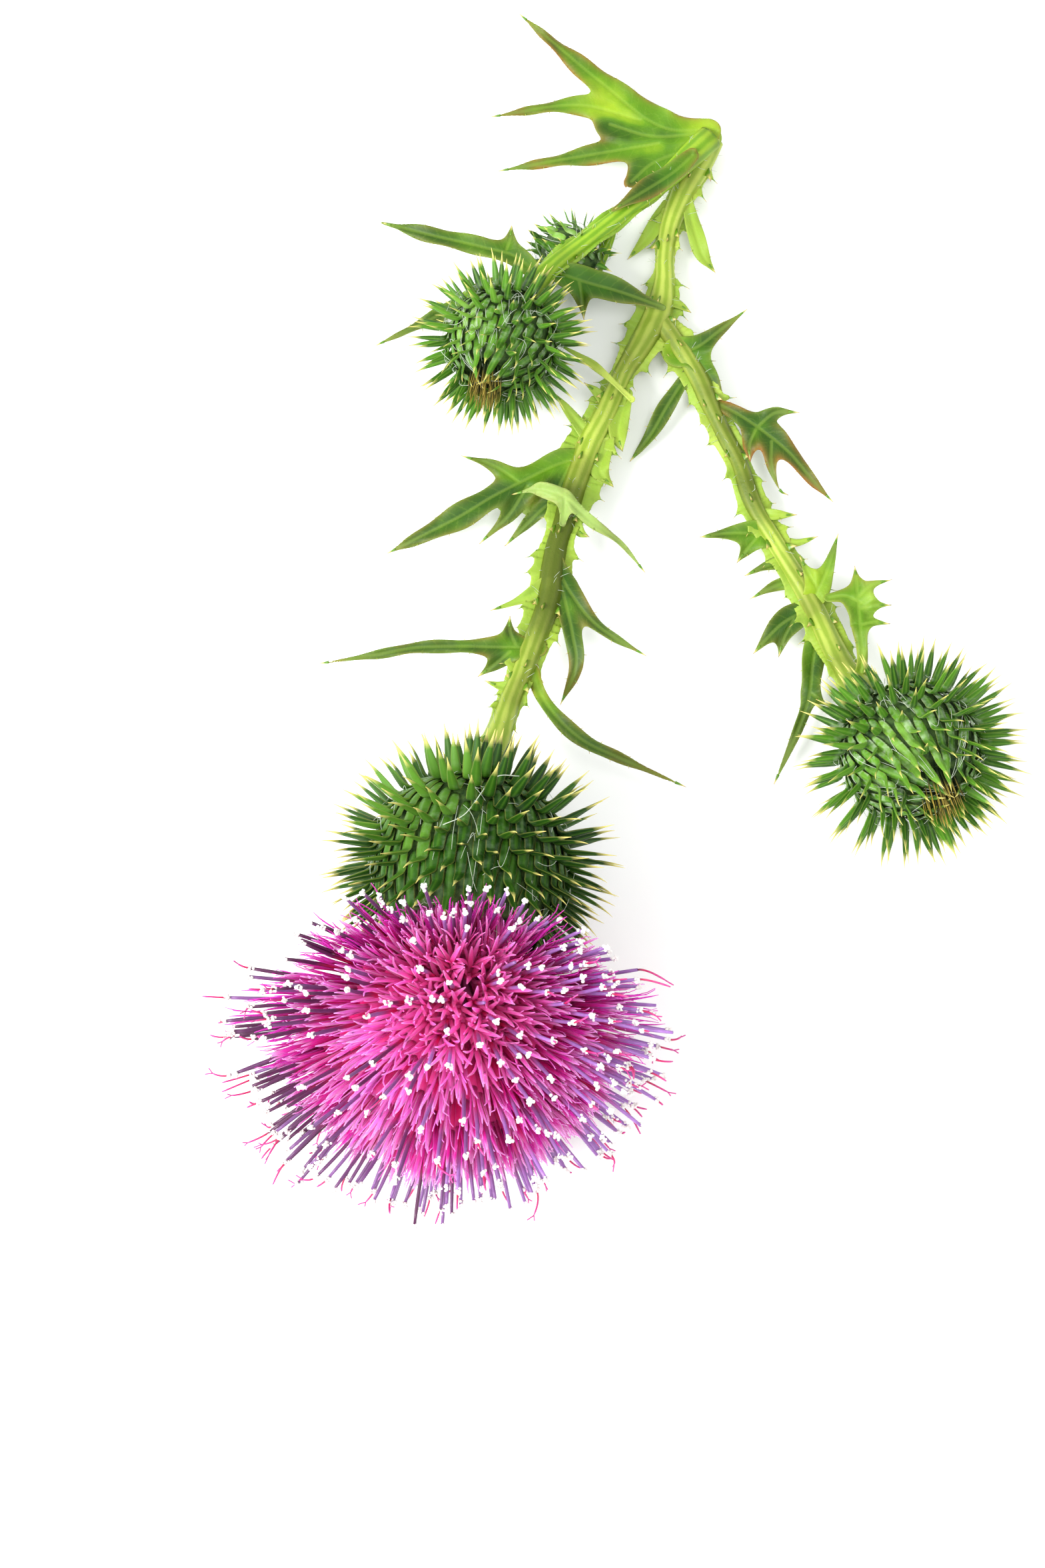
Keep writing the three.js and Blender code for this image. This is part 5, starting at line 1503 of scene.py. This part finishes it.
class THISTLE_OT_buds(bpy.types.Operator):
    """Grows the three closed buds"""

    bl_idname = "thistle.buds"
    bl_label = "Buds"

    def execute(self, context):
        colours = context.scene.thistle_colours
        sizes = context.scene.thistle_sizes
        wool = new_material("bud_wool", hair_tissue, colours.wool)
        flesh = new_material("felted_receptacle", receptacle_tissue, colours)
        straw = new_material("dry_straw_bristle", straw_tissue, colours)
        scale = new_material("young_bract", bract_tissue, colours, colours.bud_dark, colours.bud_green,
                             colours.bud_keel)
        for i, (name, count, hair_count) in enumerate((
            ("right_bud", sizes.right_bud_bracts, 34),
            ("left_bud", sizes.left_bud_bracts, 36),
            ("small_bud", sizes.small_bud_bracts, 10),
        )):
            head = Head(name)
            grow_core(head, name + "_core", [flesh, wool])
            grow_bracts(head, count, hair_count, BUD_SEED + 20 + 10 * i, [scale, wool])
            if name != "small_bud":
                grow_bud_tip(head, BUD_SEED + 60 + i, [straw])
        return {"FINISHED"}


class THISTLE_OT_florets(bpy.types.Operator):
    """Grows the tuft of florets"""

    bl_idname = "thistle.florets"
    bl_label = "Florets"

    def execute(self, context):
        colours = context.scene.thistle_colours
        grow_florets(context.scene.thistle_sizes.florets, FLORET_SEED, [
            new_material("moist_corolla", corolla_tissue, colours),
            new_material("waxy_anther_tube", anther_tissue, colours),
            new_material("smooth_style", style_tissue, colours),
            new_material("pollen", hair_tissue, colours.pollen),
        ])
        return {"FINISHED"}


class THISTLE_PT_panel(bpy.types.Panel):
    """The sprig's sizes, colours and pieces"""

    bl_idname = "THISTLE_PT_panel"
    bl_label = "Thistle sprig"
    bl_space_type = "VIEW_3D"
    bl_region_type = "UI"
    bl_category = "Thistle"

    def draw(self, context):
        for group in (context.scene.thistle_sizes, context.scene.thistle_colours):
            for name in group.__annotations__:
                self.layout.prop(group, name)
        for operator in OPERATORS:
            self.layout.operator(operator.bl_idname)


OPERATORS = (THISTLE_OT_stage, THISTLE_OT_stems, THISTLE_OT_leaves, THISTLE_OT_flower_cup, THISTLE_OT_buds,
             THISTLE_OT_florets)
CLASSES = (ThistleSizes, ThistleColours, *OPERATORS, THISTLE_PT_panel)


def register():
    for entry in CLASSES:
        bpy.utils.register_class(entry)
    bpy.types.Scene.thistle_sizes = bpy.props.PointerProperty(type=ThistleSizes)
    bpy.types.Scene.thistle_colours = bpy.props.PointerProperty(type=ThistleColours)


def unregister():
    del bpy.types.Scene.thistle_colours
    del bpy.types.Scene.thistle_sizes
    for entry in reversed(CLASSES):
        bpy.utils.unregister_class(entry)


def main():
    register()
    bpy.ops.thistle.stage()
    bpy.ops.thistle.stems()
    bpy.ops.thistle.leaves()
    bpy.ops.thistle.flower_cup()
    bpy.ops.thistle.buds()
    bpy.ops.thistle.florets()


if __name__ == "__main__":
    main()
